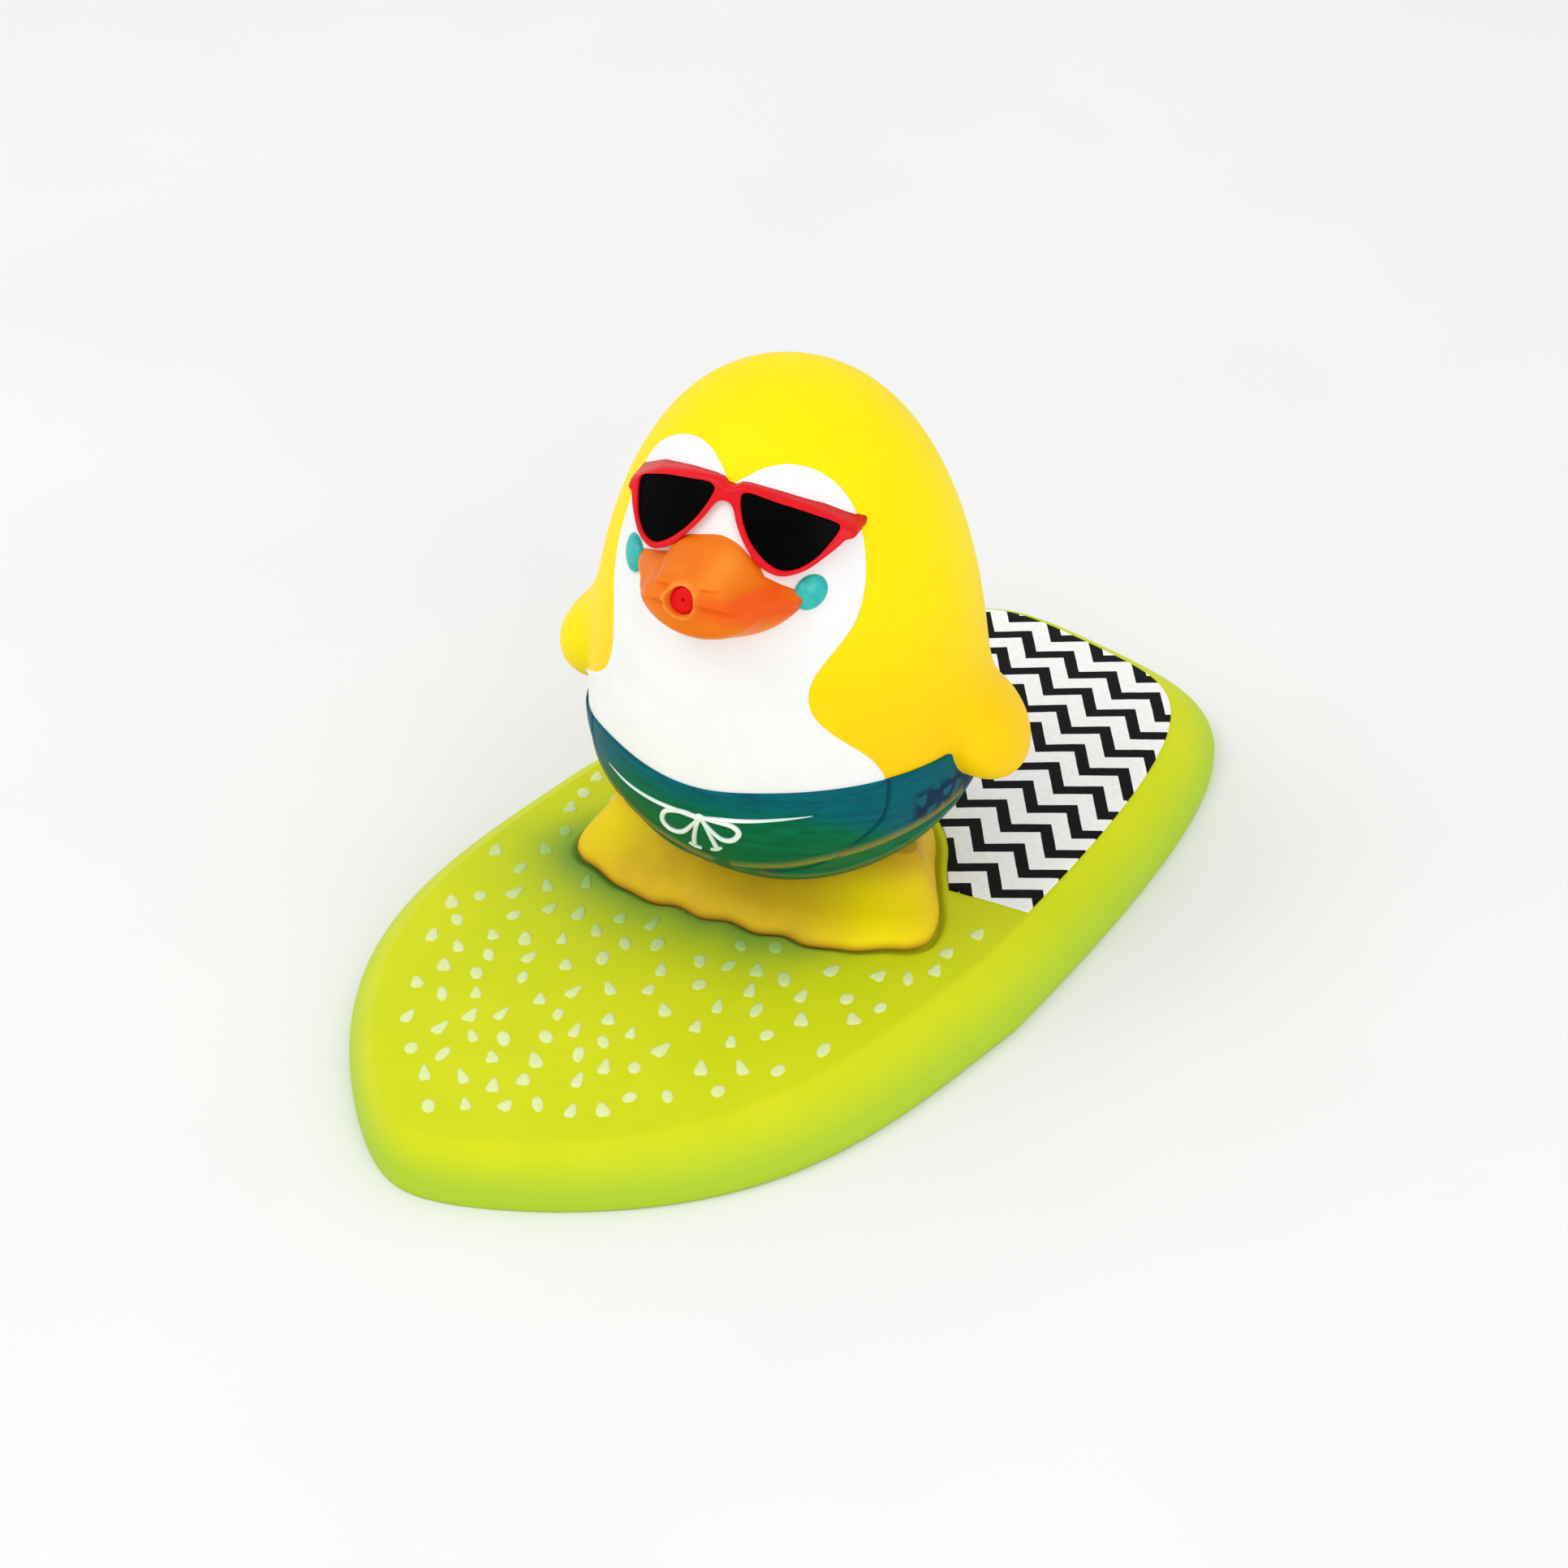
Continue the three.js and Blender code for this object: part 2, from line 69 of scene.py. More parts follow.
BOARD_LENGTH = DECK_HIGH[1] - DECK_LOW[1]
BOARD_HALF_WIDTH = (DECK_HIGH[0] - DECK_LOW[0]) / 2
BOARD_WIDEST_Y = 0.7
NOSE = {"width_power": 2.34, "reach_power": 0.557, "tip_round": 0.78}
TAIL = {"width_power": 0.457, "reach_power": 1.93, "tip_round": 0.05}
DECK_HEIGHT = DECK_HIGH[2]
DECK_CROWN = 1.75
CREASE_INSET = 7
CREASE_RADIUS = BOARD_HALF_WIDTH - CREASE_INSET
NOSE_INSET_RATIO = 0.34
RAIL_HEIGHT = 1.9
RAIL_SHOULDER = 4.45
UNDERSIDE_INSET = 0.2
POCKET_DEPTH = 0.9
PRINT_FRONT_Y = 0.6
PRINT_SWEEP = 0.37
PRINT_RIM = 2
SPECKLE_SPACING = 4.3
SPECKLE_TRIES = 9000

PENGUIN_YAW = math.radians(17)
PENGUIN_PLACE = (TRUNKS_LOW + TRUNKS_HIGH) / 2 * (1, 1, 0)
BODY_SKIN = 1.3
BODY_RADIUS = 30.2
BODY_WIDEST_Z = 40.5
BODY_TOP_Z = BODY_HIGH[2] - 0.5
BODY_BOTTOM_Z = BODY_LOW[2] - BODY_SKIN
HEAD_BEND = (2.03, 2.42)
BASE_BEND = (1.89, 1.48)
BODY_DEPTH_RATIO = 0.95
# Millimetres round the body for each degree.
BODY_ARC = BODY_RADIUS * math.pi / 180
FLIPPER_MELT = 1.15
SHOULDER_MELT = 7.5
PATCH_RISE = 0.9

# Each flipper is part of an ellipsoid: half sizes, centre, tilt outward and sweep backward.
LEFT_FLIPPER = (6.6, 11, 10), (28.7, 2.6, 43.7), math.radians(47), math.radians(17)
RIGHT_FLIPPER = (7.6, 11, 11.2), (27.3, 1.8, 45.2), math.radians(43.5), math.radians(25)

WAIST_Z = TRUNKS_HIGH[2]
WAIST_SLOPE = 1.2
# Bends of the waist: (degrees round from the front, rise, half width in degrees).
WAIST_BENDS = ((-38, 0.9, 16), (-3, -0.7, 16), (-78, -3.6, 22))
TRUNKS_PROUD = 0.6
HEM_RISE, SEAM_DEPTH = 0.45, 0.4
HOLE_PLACE = (-2.3, 77.6)
HOLE_RADIUS = 1.95
HOLE_TILT = math.radians(20)
BILL_HALF_WIDTH = 11.5
BILL_RISE, BILL_DROP = 5.2, 7.0
MOUTH_TOP_Z = 79
MOUTH_SAG = 2.9
GLASSES_SHIFT_X = -1.4
GLASSES_HALF_WIDTH = 17
GLASSES_THICKER_AT_ENDS = 1.1
CHEEK_RADIUS = 2.45


# ---- Curves and outlines ----


def catmull_rom(before, start, end, after, part):
    """The curve from start to end, for part from 0 to 1."""
    return 0.5 * (
        2 * start
        + (end - before) * part
        + (2 * before - 5 * start + 4 * end - after) * part**2
        + (3 * start - before - 3 * end + after) * part**3
    )


def smooth_loop(points, count):
    """A closed curve through the points, in count steps."""
    points = np.asarray(points, float)
    place = np.arange(count) / count * len(points)
    index = place.astype(int)
    four = (points[(index + step) % len(points)] for step in (-1, 0, 1, 2))
    return catmull_rom(*four, (place - index)[:, None])


def smooth_path(points, count):
    """An open curve through the points, at count places."""
    points = np.asarray(points, float)
    padded = np.vstack((2 * points[0] - points[1], points, 2 * points[-1] - points[-2]))
    place = np.linspace(0, len(points) - 1, count)
    index = np.minimum(place.astype(int), len(points) - 2)
    four = (padded[index + step] for step in (0, 1, 2, 3))
    return catmull_rom(*four, (place - index)[:, None])


def distance_along(path):
    """The length of a path up to each of its points."""
    return np.concatenate(([0], np.cumsum(np.linalg.norm(np.diff(path, axis=0), axis=1))))


def even_loop(loop, spacing):
    """The same closed line with its points about spacing apart."""
    closed = np.vstack((loop, loop[:1]))
    along = distance_along(closed)
    count = max(8, int(round(along[-1] / spacing)))
    places = np.arange(count) / count * along[-1]
    return np.stack([np.interp(places, along, closed[:, axis]) for axis in range(2)], axis=1)


def mirrored(half):
    """A half outline, from the middle line round its +x side, and its mirror image."""
    other = [(-x, y) for x, y in reversed(half) if x > 0]
    return list(half) + other


def signed_area(loop):
    """The area inside a closed line, above zero if it runs counter-clockwise."""
    x, y = loop.T
    return 0.5 * np.sum(x * np.roll(y, -1) - np.roll(x, -1) * y)


def grown(loop, distance):
    """A closed loop moved outward by a small distance."""
    along = np.roll(loop, -1, axis=0) - np.roll(loop, 1, axis=0)
    along = along / np.maximum(np.linalg.norm(along, axis=1, keepdims=True), 1e-9)
    outward = np.stack((along[:, 1], -along[:, 0]), axis=1) * np.sign(signed_area(loop))
    return loop + outward * distance


def distance_to_path(points, path, closed=True):
    """Distance from each 2-D point to the nearest place on the line."""
    ends = np.roll(path, -1, axis=0) if closed else path[1:]
    best = np.full(len(points), np.inf)
    for start, end in zip(path, ends):
        along = end - start
        part = np.clip((points - start) @ along / max(along @ along, 1e-12), 0, 1)
        gap = points - start - part[:, None] * along
        best = np.minimum(best, np.hypot(gap[:, 0], gap[:, 1]))
    return best


def is_inside(points, loop):
    """Whether each 2-D point lies inside a closed line."""
    x, y = points.T
    inside = np.zeros(len(points), bool)
    for (start_x, start_y), (end_x, end_y) in zip(loop, np.roll(loop, -1, axis=0)):
        if start_y == end_y:
            continue
        crosses = (start_y > y) != (end_y > y)
        inside ^= crosses & (x < (end_x - start_x) * (y - start_y) / (end_y - start_y) + start_x)
    return inside


def smoothstep(low, high, value):
    """A smooth climb from 0 at low to 1 at high."""
    part = np.clip((value - low) / (high - low), 0, 1)
    return part * part * (3 - 2 * part)


def bell(distance, width):
    """A smooth bump, 1 in its middle."""
    return np.exp(-((distance / width) ** 2))


def full_turn(count):
    """Even angles once round a circle."""
    return np.arange(count) / count * 2 * math.pi


def turned(x, y, angle):
    """A vector turned counter-clockwise."""
    cos, sin = math.cos(angle), math.sin(angle)
    return x * cos - y * sin, x * sin + y * cos


# ---- Meshes ----


def to_board(points):
    """From the penguin's frame to the board's."""
    x, y, z = np.asarray(points, float).T
    return np.stack((*turned(x, y, PENGUIN_YAW), z), axis=1) + PENGUIN_PLACE


def to_penguin(points):
    """From the board's frame to the penguin's, for plan points (x, y)."""
    x, y = (points[:, :2] - PENGUIN_PLACE[:2]).T
    return np.stack(turned(x, y, -PENGUIN_YAW), axis=1)


def closed_mesh(name, points, faces):
    """A smooth closed mesh with every face turned outward."""
    mesh = bpy.data.meshes.new(name)
    mesh.from_pydata((points * MM).tolist(), [], faces)
    mesh.validate()
    mesh.shade_smooth()
    work = bmesh.new()
    work.from_mesh(mesh)
    bmesh.ops.recalc_face_normals(work, faces=work.faces)
    work.to_mesh(mesh)
    work.free()
    return mesh


def new_object(name, data):
    """A new object in the scene."""
    thing = bpy.data.objects.new(name, data)
    bpy.context.scene.collection.objects.link(thing)
    return thing


def add_piece(name, surface, material, slot, *nodes, body="penguin", **painted):
    """Shows (points, faces) as a piece on a body, in place of the CAD nodes.

    Each painted value holds one number for each point, for the material to read.
    """
    mesh = closed_mesh(f"{name}_mesh", *surface)
    for key, values in painted.items():
        attribute = mesh.attributes.new(key, "FLOAT", "POINT")
        attribute.data.foreach_set("value", np.asarray(values, np.float32))
    mesh.materials.append(material)
    piece = new_object(name, mesh)
    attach(piece, body)
    if nodes:
        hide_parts(*nodes)


def closed_surface(rings):
    """Points and faces of a surface through rings (ring, place, xyz), closed by a fan at each end."""
    rings = np.asarray(rings)
    count, segments, _ = rings.shape
    first, *_, final = rings.mean(axis=1)
    points = np.vstack((first, rings.reshape(-1, 3), final))
    last = len(points) - 1
    faces = []
    for i in range(segments):
        j = (i + 1) % segments
        faces.append((0, 1 + j, 1 + i))
        for start in range(1, 1 + (count - 1) * segments, segments):
            faces.append((start + i, start + j, start + segments + j, start + segments + i))
        faces.append((last, last - segments + i, last - segments + j))
    return points, faces


def merged(surfaces):
    """One (points, faces) from several."""
    points, faces, start = [], [], 0
    for block, block_faces in surfaces:
        points.append(block)
        faces += [tuple(start + index for index in face) for face in block_faces]
        start += len(block)
    return np.concatenate(points), faces


def is_between(points, loops):
    """Whether each 2-D point lies inside the outline loops[0] and outside the holes after it."""
    outline, *holes = loops
    kept = is_inside(points, outline)
    for hole in holes:
        kept &= ~is_inside(points, hole)
    return kept


def triangulated(loops, spacing, edge):
    """Flat points and triangles between the loops, with finer rings inside their edge."""
    outline = loops[0]
    points, lines = [], []
    for step in (0, 0.12, 0.35, 0.65, 1):
        for index, loop in enumerate(loops):
            outward = -step * edge if index == 0 else step * edge
            ring = grown(loop, outward)
            start = len(points)
            points.extend(ring.tolist())
            count = len(ring)
            lines.extend((start + i, start + (i + 1) % count) for i in range(count))
    low, high = outline.min(axis=0), outline.max(axis=0)
    rows = np.arange(low[1], high[1], spacing * math.sqrt(0.75))
    columns = np.arange(low[0], high[0], spacing)
    grid = np.array([(x + spacing / 2 * (row % 2), y) for row, y in enumerate(rows) for x in columns])
    free = is_between(grid, loops)
    for loop in loops:
        free &= distance_to_path(grid, loop) > edge + 0.5 * spacing
    points.extend(grid[free].tolist())
    result = geometry.delaunay_2d_cdt([Vector(point) for point in points], lines, [], 0, 1e-5)
    flat = np.array(result[0])
    triangles = np.array([list(face) for face in result[2]])
    return flat, triangles[is_between(flat[triangles].mean(axis=1), loops)]


def sheet(loops, spacing, edge, surface, offsets):
    """Points and faces of a thin closed piece with a round edge.

    loops[0] is its outline and the others are holes. surface(flat, offset) puts a flat point on the
    thing that it lies on. offsets are those of its underside, of its rim and of its top.
    """
    flat, triangles = triangulated(loops, spacing, edge)
    gap = np.min([distance_to_path(flat, loop) for loop in loops], axis=0)
    rise = np.sqrt(np.maximum(1 - (1 - np.clip(gap / edge, 0, 1)) ** 2, 0))
    under, rim, top = offsets
    upper = surface(flat, rim + (top - rim) * rise)
    lower = surface(flat, np.full(len(flat), float(under)))
    count = len(flat)
    directed = {(a, b) for tri in triangles.tolist() for a, b in zip(tri, tri[1:] + tri[:1])}
    walls = [(a, a + count, b + count, b) for a, b in directed if (b, a) not in directed]
    faces = triangles.tolist() + (triangles[:, ::-1] + count).tolist() + walls
    return np.concatenate((upper, lower)), faces


# ---- Materials ----


def paint(red, green, blue):
    """A screen colour, from 0 to 255, as linear light."""
    light = (((part / 255 + 0.055) / 1.055) ** 2.4 if part > 10 else part / 3295
             for part in (red, green, blue))
    return *light, 1


class Shader:
    """A node material with a principled surface, and short calls that add to it."""

    def __init__(self, name):
        self.material = bpy.data.materials.new(name)
        self.material.use_nodes = True
        self.tree = self.material.node_tree
        self.surface = self.tree.nodes["Principled BSDF"]

    def add(self, kind, inputs=None, output=0, **settings):
        """Adds a node, with its inputs and settings, and gives back one of its outputs."""
        node = self.tree.nodes.new("ShaderNode" + kind)
        for key, value in settings.items():
            setattr(node, key, value)
        for key, value in (inputs or {}).items():
            self.feed(node.inputs[key], value)
        return node.outputs[output]

    def feed(self, socket, value):
        """Gives an input a value, or a link from another node."""
        if isinstance(value, bpy.types.NodeSocket):
            self.tree.links.new(value, socket)
        else:
            socket.default_value = value

    def set(self, **inputs):
        """Sets inputs of the surface."""
        for key, value in inputs.items():
            self.feed(self.surface.inputs[key.replace("_", " ")], value)

    def place(self):
        """Where a point is, in millimetres."""
        spot = self.add("TexCoord", output=3)
        return self.add("VectorMath", {0: spot, 3: 1 / MM}, operation="SCALE")

    def split(self, vector):
        """The x, y and z of a vector."""
        node = self.tree.nodes.new("ShaderNodeSeparateXYZ")
        self.feed(node.inputs[0], vector)
        return node.outputs

    def math(self, operation, first, second=0.0, third=0.0):
        """One step of arithmetic."""
        return self.add("Math", {0: first, 1: second, 2: third}, operation=operation)

    def noise(self, size, detail=3.0, vector=None, rough=0.55):
        """Soft noise from 0 to 1, with features of about this size in millimetres."""
        where = vector or self.place()
        inputs = {"Vector": where, "Scale": 1 / size, "Detail": detail, "Roughness": rough}
        return self.add("TexNoise", inputs)

    def ramp(self, value, low, high, first=0.0, last=1.0):
        """A smooth climb from first at low to last at high."""
        inputs = {0: value, 1: low, 2: high, 3: first, 4: last}
        return self.add("MapRange", inputs, interpolation_type="SMOOTHSTEP")

    def mix(self, factor, first, second):
        """A colour between first and second."""
        return self.add("Mix", {0: factor, 6: first, 7: second}, output=2, data_type="RGBA")

    def blend(self, noise, first, second):
        """Two colours that follow the middle of a noise's range."""
        return self.mix(self.ramp(noise, 0.3, 0.7), first, second)

    def clouded(self, size, detail, first, second):
        """Two colours in soft clouds of about this size."""
        return self.blend(self.noise(size, detail), first, second)

    def painted(self, name):
        """A number stored with the vertices."""
        return self.add("Attribute", output=2, attribute_name=name)

    def bumps(self, *heights):
        """Bumps from (height, strength, millimetres) in turn."""
        normal = None
        for height, strength, depth in heights:
            inputs = {"Height": height, "Strength": strength, "Distance": depth * MM}
            if normal:
                inputs["Normal"] = normal
            normal = self.add("Bump", inputs)
        self.set(Normal=normal)


def finish(shader, roughness, grain):
    """The surface of moulded vinyl: a sheen that comes and goes, and a fine grain."""
    wear = shader.noise(4, 5, rough=0.65)
    shader.set(Roughness=shader.ramp(wear, 0.25, 0.75, roughness - 0.06, roughness + 0.08))
    shader.set(Specular_IOR_Level=0.1)
    shader.bumps((shader.noise(2.8, 2), 0.25, grain), (shader.noise(0.25, 3), 0.12, grain))
    shader.set(Subsurface_Weight=0.06, Subsurface_Radius=(1, 0.9, 0.5), Subsurface_Scale=1.2 * MM)


def vinyl(name, colour, shade, roughness, grain=0.05):
    """Plain moulded vinyl, with faint clouds of a second shade."""
    shader = Shader(name)
    shader.set(Base_Color=shader.clouded(9, 4, colour, shade))
    finish(shader, roughness, grain)
    return shader


def tinted(shader, base, *layers):
    """Sets a base colour under layers of (factor, colour)."""
    colour = base
    for factor, tint in layers:
        colour = shader.mix(factor, colour, tint)
    shader.set(Base_Color=colour)


def board_material():
    """Lime vinyl, with a painted dark green shadow round the feet, and darker under the rail."""
    shader = Shader("board_lime_vinyl")
    z = shader.split(shader.place())[2]
    clouds = shader.noise(14, 4)
    base = shader.blend(clouds, paint(205, 216, 22), paint(212, 219, 26))
    rail = shader.ramp(z, DECK_HEIGHT - 2.2, 2.5)
    # Painted contact shadow round the feet, in dark green, a little uneven.
    spray = shader.math("MULTIPLY", shader.painted("spray"), shader.ramp(clouds, 0.1, 0.9, 0.85, 1.1))
    tinted(shader, base, (rail, paint(176, 207, 50)), (shader.ramp(spray, 0, 1), paint(30, 128, 66)))
    finish(shader, roughness=0.5, grain=0.04)
    return shader.material


def underside_material():
    """Darker lime vinyl."""
    return vinyl("underside_vinyl", paint(176, 205, 45), paint(188, 214, 52), 0.55).material


def chevron_material():
    """Black zigzags on white, with slightly uneven ink."""
    half_period, stripe_period, white_share = 4.4, 6.65, 0.571
    peak_x, peak_y = 17.5, 20.0
    soft = 0.012
    shader = Shader("chevron_print")
    x, y, _ = shader.split(shader.place())
    wander = shader.ramp(shader.noise(3, 2), 0, 1, -0.08, 0.08)
    across = shader.math("PINGPONG", shader.math("SUBTRACT", x, peak_x), half_period)
    along = shader.math("ADD", shader.math("ADD", y, across), wander)
    stripes = shader.math("DIVIDE", shader.math("SUBTRACT", along, peak_y), stripe_period)
    cycle = shader.math("FRACT", stripes)
    rising = shader.ramp(cycle, white_share - soft, white_share + soft)
    falling = shader.ramp(cycle, 1 - soft, 1)
    ink = shader.math("SUBTRACT", rising, falling)
    mottle = shader.ramp(shader.noise(1.2, 4), 0.3, 0.8)
    white = shader.mix(mottle, paint(250, 250, 250), paint(240, 241, 240))
    black = shader.mix(mottle, paint(10, 10, 12), paint(24, 24, 26))
    shader.set(Base_Color=shader.mix(ink, white, black))
    shader.set(Roughness=shader.ramp(mottle, 0, 1, 0.42, 0.55), Specular_IOR_Level=0.05)
    shader.bumps((ink, 0.2, 0.03), (shader.noise(0.3, 3), 0.1, 0.03))
    return shader.material


def speckle_material():
    """Pale green spots, darkened where the painted shadow round the feet lies."""
    shader = Shader("speckle_print")
    base = shader.clouded(1.5, 4, paint(222, 234, 156), paint(228, 238, 172))
    # Painted shadow round the feet, laid over the spots.
    tinted(shader, base, (shader.painted("spray"), paint(116, 176, 72)))
    finish(shader, roughness=0.5, grain=0.05)
    return shader.material


def body_material():
    """Yellow vinyl, warmer and deeper toward the base and the penguin's left."""
    shader = Shader("body_yellow_vinyl")
    x, _, z = shader.split(shader.place())
    clouds = shader.math("MULTIPLY_ADD", shader.noise(16, 3), 14.0, z)
    low = shader.math("MULTIPLY", shader.ramp(clouds, 84, 46), shader.ramp(x, -26, -8))
    base = shader.clouded(5, 4, paint(255, 231, 0), paint(255, 227, 2))
    tinted(shader, base, (low, paint(250, 204, 6)))
    finish(shader, roughness=0.48, grain=0.05)
    return shader.material


def front_material():
    """White vinyl."""
    return vinyl("front_white_vinyl", paint(247, 247, 246), paint(242, 242, 241), 0.45).material


def trunks_material():
    """Brushed paint: teal blue at the waist, green below, blue petals at the side."""
    shader = Shader("trunks_paint")
    place = shader.place()
    z = shader.split(place)[2]
    stretched = shader.add("VectorMath", {0: place, 1: (0.25, 0.25, 1.6)}, operation="MULTIPLY")
    strokes = shader.noise(1.4, 5, stretched, 0.7)
    height = shader.math("MULTIPLY_ADD", strokes, 6.0, z)
    height = shader.math("MULTIPLY_ADD", shader.painted("side"), 7.0, height)
    blue = shader.ramp(height, 40.5, 46.5)
    teal = shader.blend(strokes, paint(0, 80, 96), paint(0, 102, 112))
    green = shader.blend(strokes, paint(0, 92, 58), paint(0, 114, 76))
    base = shader.mix(blue, green, teal)
    bend = shader.add("TexNoise", {"Vector": place, "Scale": 0.5}, output=1)
    warp = shader.add("VectorMath", {0: place, 1: bend}, operation="ADD")
    cells = shader.add("TexVoronoi", {"Vector": warp, "Scale": 0.34}, feature="DISTANCE_TO_EDGE")
    petals = shader.math("MULTIPLY", shader.ramp(cells, 0.24, 0.12), shader.painted("petals"))
    tinted(shader, base, (petals, paint(0, 42, 74)), (shader.painted("seam"), paint(0, 62, 74)),
           (shader.painted("hem"), paint(150, 132, 48)))
    shader.set(Roughness=shader.ramp(strokes, 0.2, 0.8, 0.36, 0.52), Specular_IOR_Level=0.06)
    shader.bumps((strokes, 0.25, 0.08), (shader.noise(0.3, 3), 0.1, 0.04))
    return shader.material


def cord_material():
    """White paint that lets a little green through."""
    return vinyl("drawstring_paint", paint(244, 248, 246), paint(214, 236, 230), 0.4, 0.08).material


def feet_material():
    """Golden vinyl with painted shade at its bottom edge and under the trunks, and painted highlights on
    the toes.
    """
    shader = Shader("feet_golden_vinyl")
    base = shader.clouded(6, 4, paint(226, 186, 34), paint(216, 174, 36))
    # Painted highlights on the toes, then painted shade low down and under the trunks.
    tinted(shader, base, (shader.painted("bright"), paint(252, 228, 4)),
           (shader.painted("brown"), paint(176, 108, 34)))
    finish(shader, roughness=0.46, grain=0.05)
    return shader.material


def beak_material():
    """Orange vinyl, with painted shade under the mouth line and painted highlights on the lip round the
    hole and on the upper bill above it.
    """
    shader = Shader("beak_orange_vinyl")
    base = shader.clouded(4, 4, paint(240, 126, 22), paint(236, 116, 22))
    # Painted highlights round the hole and above it, and painted shade under the mouth line.
    tinted(shader, base, (shader.painted("pale"), paint(246, 146, 50)),
           (shader.painted("deep"), paint(234, 74, 22)))
    finish(shader, roughness=0.3, grain=0.04)
    return shader.material


def nozzle_material():
    """Red vinyl with a rough grain."""
    return vinyl("nozzle_red_vinyl", paint(236, 20, 26), paint(222, 14, 22), 0.4, 0.25).material


def glasses_material():
    """Red paint with a thin gloss."""
    shader = vinyl("glasses_red_paint", paint(228, 20, 30), paint(220, 16, 28), 0.3, 0.04)
    shader.set(Coat_Weight=0.1, Coat_Roughness=0.15)
    return shader.material


def lens_material():
    """Black paint."""
    shader = vinyl("lens_black_paint", paint(0, 0, 0), paint(3, 3, 4), 0.3, 0.04)
    shader.set(Subsurface_Weight=0.0, Specular_IOR_Level=0.03)
    return shader.material


def cheek_material():
    """Glossy teal paint with brush strokes."""
    shader = Shader("cheek_teal_paint")
    strokes = shader.noise(1.6, 5, rough=0.7)
    base = shader.mix(shader.ramp(strokes, 0.35, 0.65), paint(20, 174, 167), paint(58, 190, 183))
    shader.set(Base_Color=base, Coat_Weight=0.4, Coat_Roughness=0.1)
    finish(shader, roughness=0.28, grain=0.05)
    return shader.material


# ---- Surfboard ----


def board_place(radius, angle, height):
    """A point of the board.

    A ring near the rim is the plan drawn in by its inset. One inside the crease is a smaller
    copy of the crease.
    """
    inset = np.minimum(BOARD_HALF_WIDTH - radius, CREASE_INSET)
    scale = radius / (BOARD_HALF_WIDTH - inset)
    side, ahead = np.cos(angle), np.sin(angle)
    is_nose = ahead < 0
    width_power, reach_power, tip_round = (
        np.where(is_nose, NOSE[key], TAIL[key]) for key in ("width_power", "reach_power", "tip_round")
    )
    reach = np.where(
        is_nose,
        BOARD_LENGTH / 2 + BOARD_WIDEST_Y - inset * NOSE_INSET_RATIO,
        BOARD_LENGTH / 2 - BOARD_WIDEST_Y - inset,
    )
    bend = ((side**2 + tip_round**2) / (1 + tip_round**2)) ** ((width_power - 1) / 2)
    x = scale * (BOARD_HALF_WIDTH - inset) * side * bend
    y = scale * reach * np.sign(ahead) * np.abs(ahead) ** reach_power + BOARD_WIDEST_Y
    return np.stack(np.broadcast_arrays(x, y, height), axis=-1)


def board_angles(count):
    """Angles whose points are evenly spaced along the rim."""
    turn = np.linspace(0, 2 * math.pi, 40001)
    ahead = np.sign(np.sin(turn)) * np.sin(turn) ** 2
    side = np.sign(np.cos(turn)) * np.sqrt(1 - ahead**2)
    angle = np.unwrap(np.arctan2(ahead, side))
    rim = board_place(np.full(len(angle), BOARD_HALF_WIDTH), angle, 0.0)
    along = distance_along(rim)
    return np.interp(np.arange(count) / count * along[-1], along, angle)


def crown_height(radius):
    """The height of the slightly domed deck."""
    return DECK_HEIGHT - DECK_CROWN * (radius / CREASE_RADIUS) ** 2


FEET_SHIFT_X = -1.3
FEET_HALF = (
    (0, -19.1), (4.5, -20), (8.7, -18.9), (12.6, -19.6), (17, -18.5), (20, -17.7), (24, -15.4),
    (27.2, -14), (29.2, -11.2), (28.6, -6), (26, -0.5), (23.4, 5), (21, 11), (16.5, 16.2), (9, 18.8),
    (0, 19.4),
)
feet_loop = even_loop(smooth_loop(mirrored(FEET_HALF), 800) + (FEET_SHIFT_X, 0), 0.5)


def distance_outside_feet(flat):
    """Distance from plan points of the board to the feet's outline, below zero inside it."""
    local = to_penguin(flat)
    distance = distance_to_path(local, feet_loop)
    return np.where(is_inside(local, feet_loop), -distance, distance)


def spray_strength(flat):
    """How dark the painted shadow round the feet is: strongest at the right toes, thin at the left and
    the heel.
    """
    distance = distance_outside_feet(flat)
    x, y = to_penguin(flat).T
    forward = smoothstep(8, -12, y) * smoothstep(26, 4, x)
    reach = 2.5 + 7.5 * forward
    return (0.2 + 0.5 * forward) * np.exp(-((np.maximum(distance, 0) / reach) ** 1.2))


def board_shell():
    """Deck, rail and underside in one skin, with a shallow pocket round the feet.

    It gives back a tree of the skin's faces, for the pieces that lie on the deck.
    """
    angles = board_angles(480)
    deck_radii = np.linspace(0.4, CREASE_RADIUS, 96)
    deck = [board_place(radius, angles, crown_height(radius)) for radius in deck_radii]
    part = np.linspace(0, 1, 28)[1:]
    rim = BOARD_HALF_WIDTH
    start = np.array((CREASE_RADIUS, crown_height(CREASE_RADIUS)))
    bend = np.array((rim - 0.4, start[1] - RAIL_SHOULDER))
    end = np.array((rim, RAIL_HEIGHT))
    rail = [(1 - t) ** 2 * start + 2 * t * (1 - t) * bend + t**2 * end for t in part]
    under = [(rim - 0.05, 1.0), (rim - 0.1, 0.4), (rim - UNDERSIDE_INSET - 0.2, 0.05)]
    under += [(radius, 0) for radius in np.linspace(rim - 1, 2, 12)]
    skirt = [board_place(radius, angles, height) for radius, height in rail + under]
    points, faces = closed_surface(deck + skirt)
    is_deck = np.arange(len(points)) <= len(deck) * len(angles)
    distance = distance_outside_feet(points)
    points[:, 2] -= np.where(is_deck, POCKET_DEPTH * smoothstep(1.1, 0.1, distance), 0)
    # The painted shadow round the feet lies on the deck only.
    spray = np.where(is_deck, spray_strength(points), 0)
    add_piece("board_shell", (points, faces), board_material(), "board_vinyl", "board_deck",
              body="surfboard", spray=spray)
    return BVHTree.FromPolygons(points.tolist(), faces)


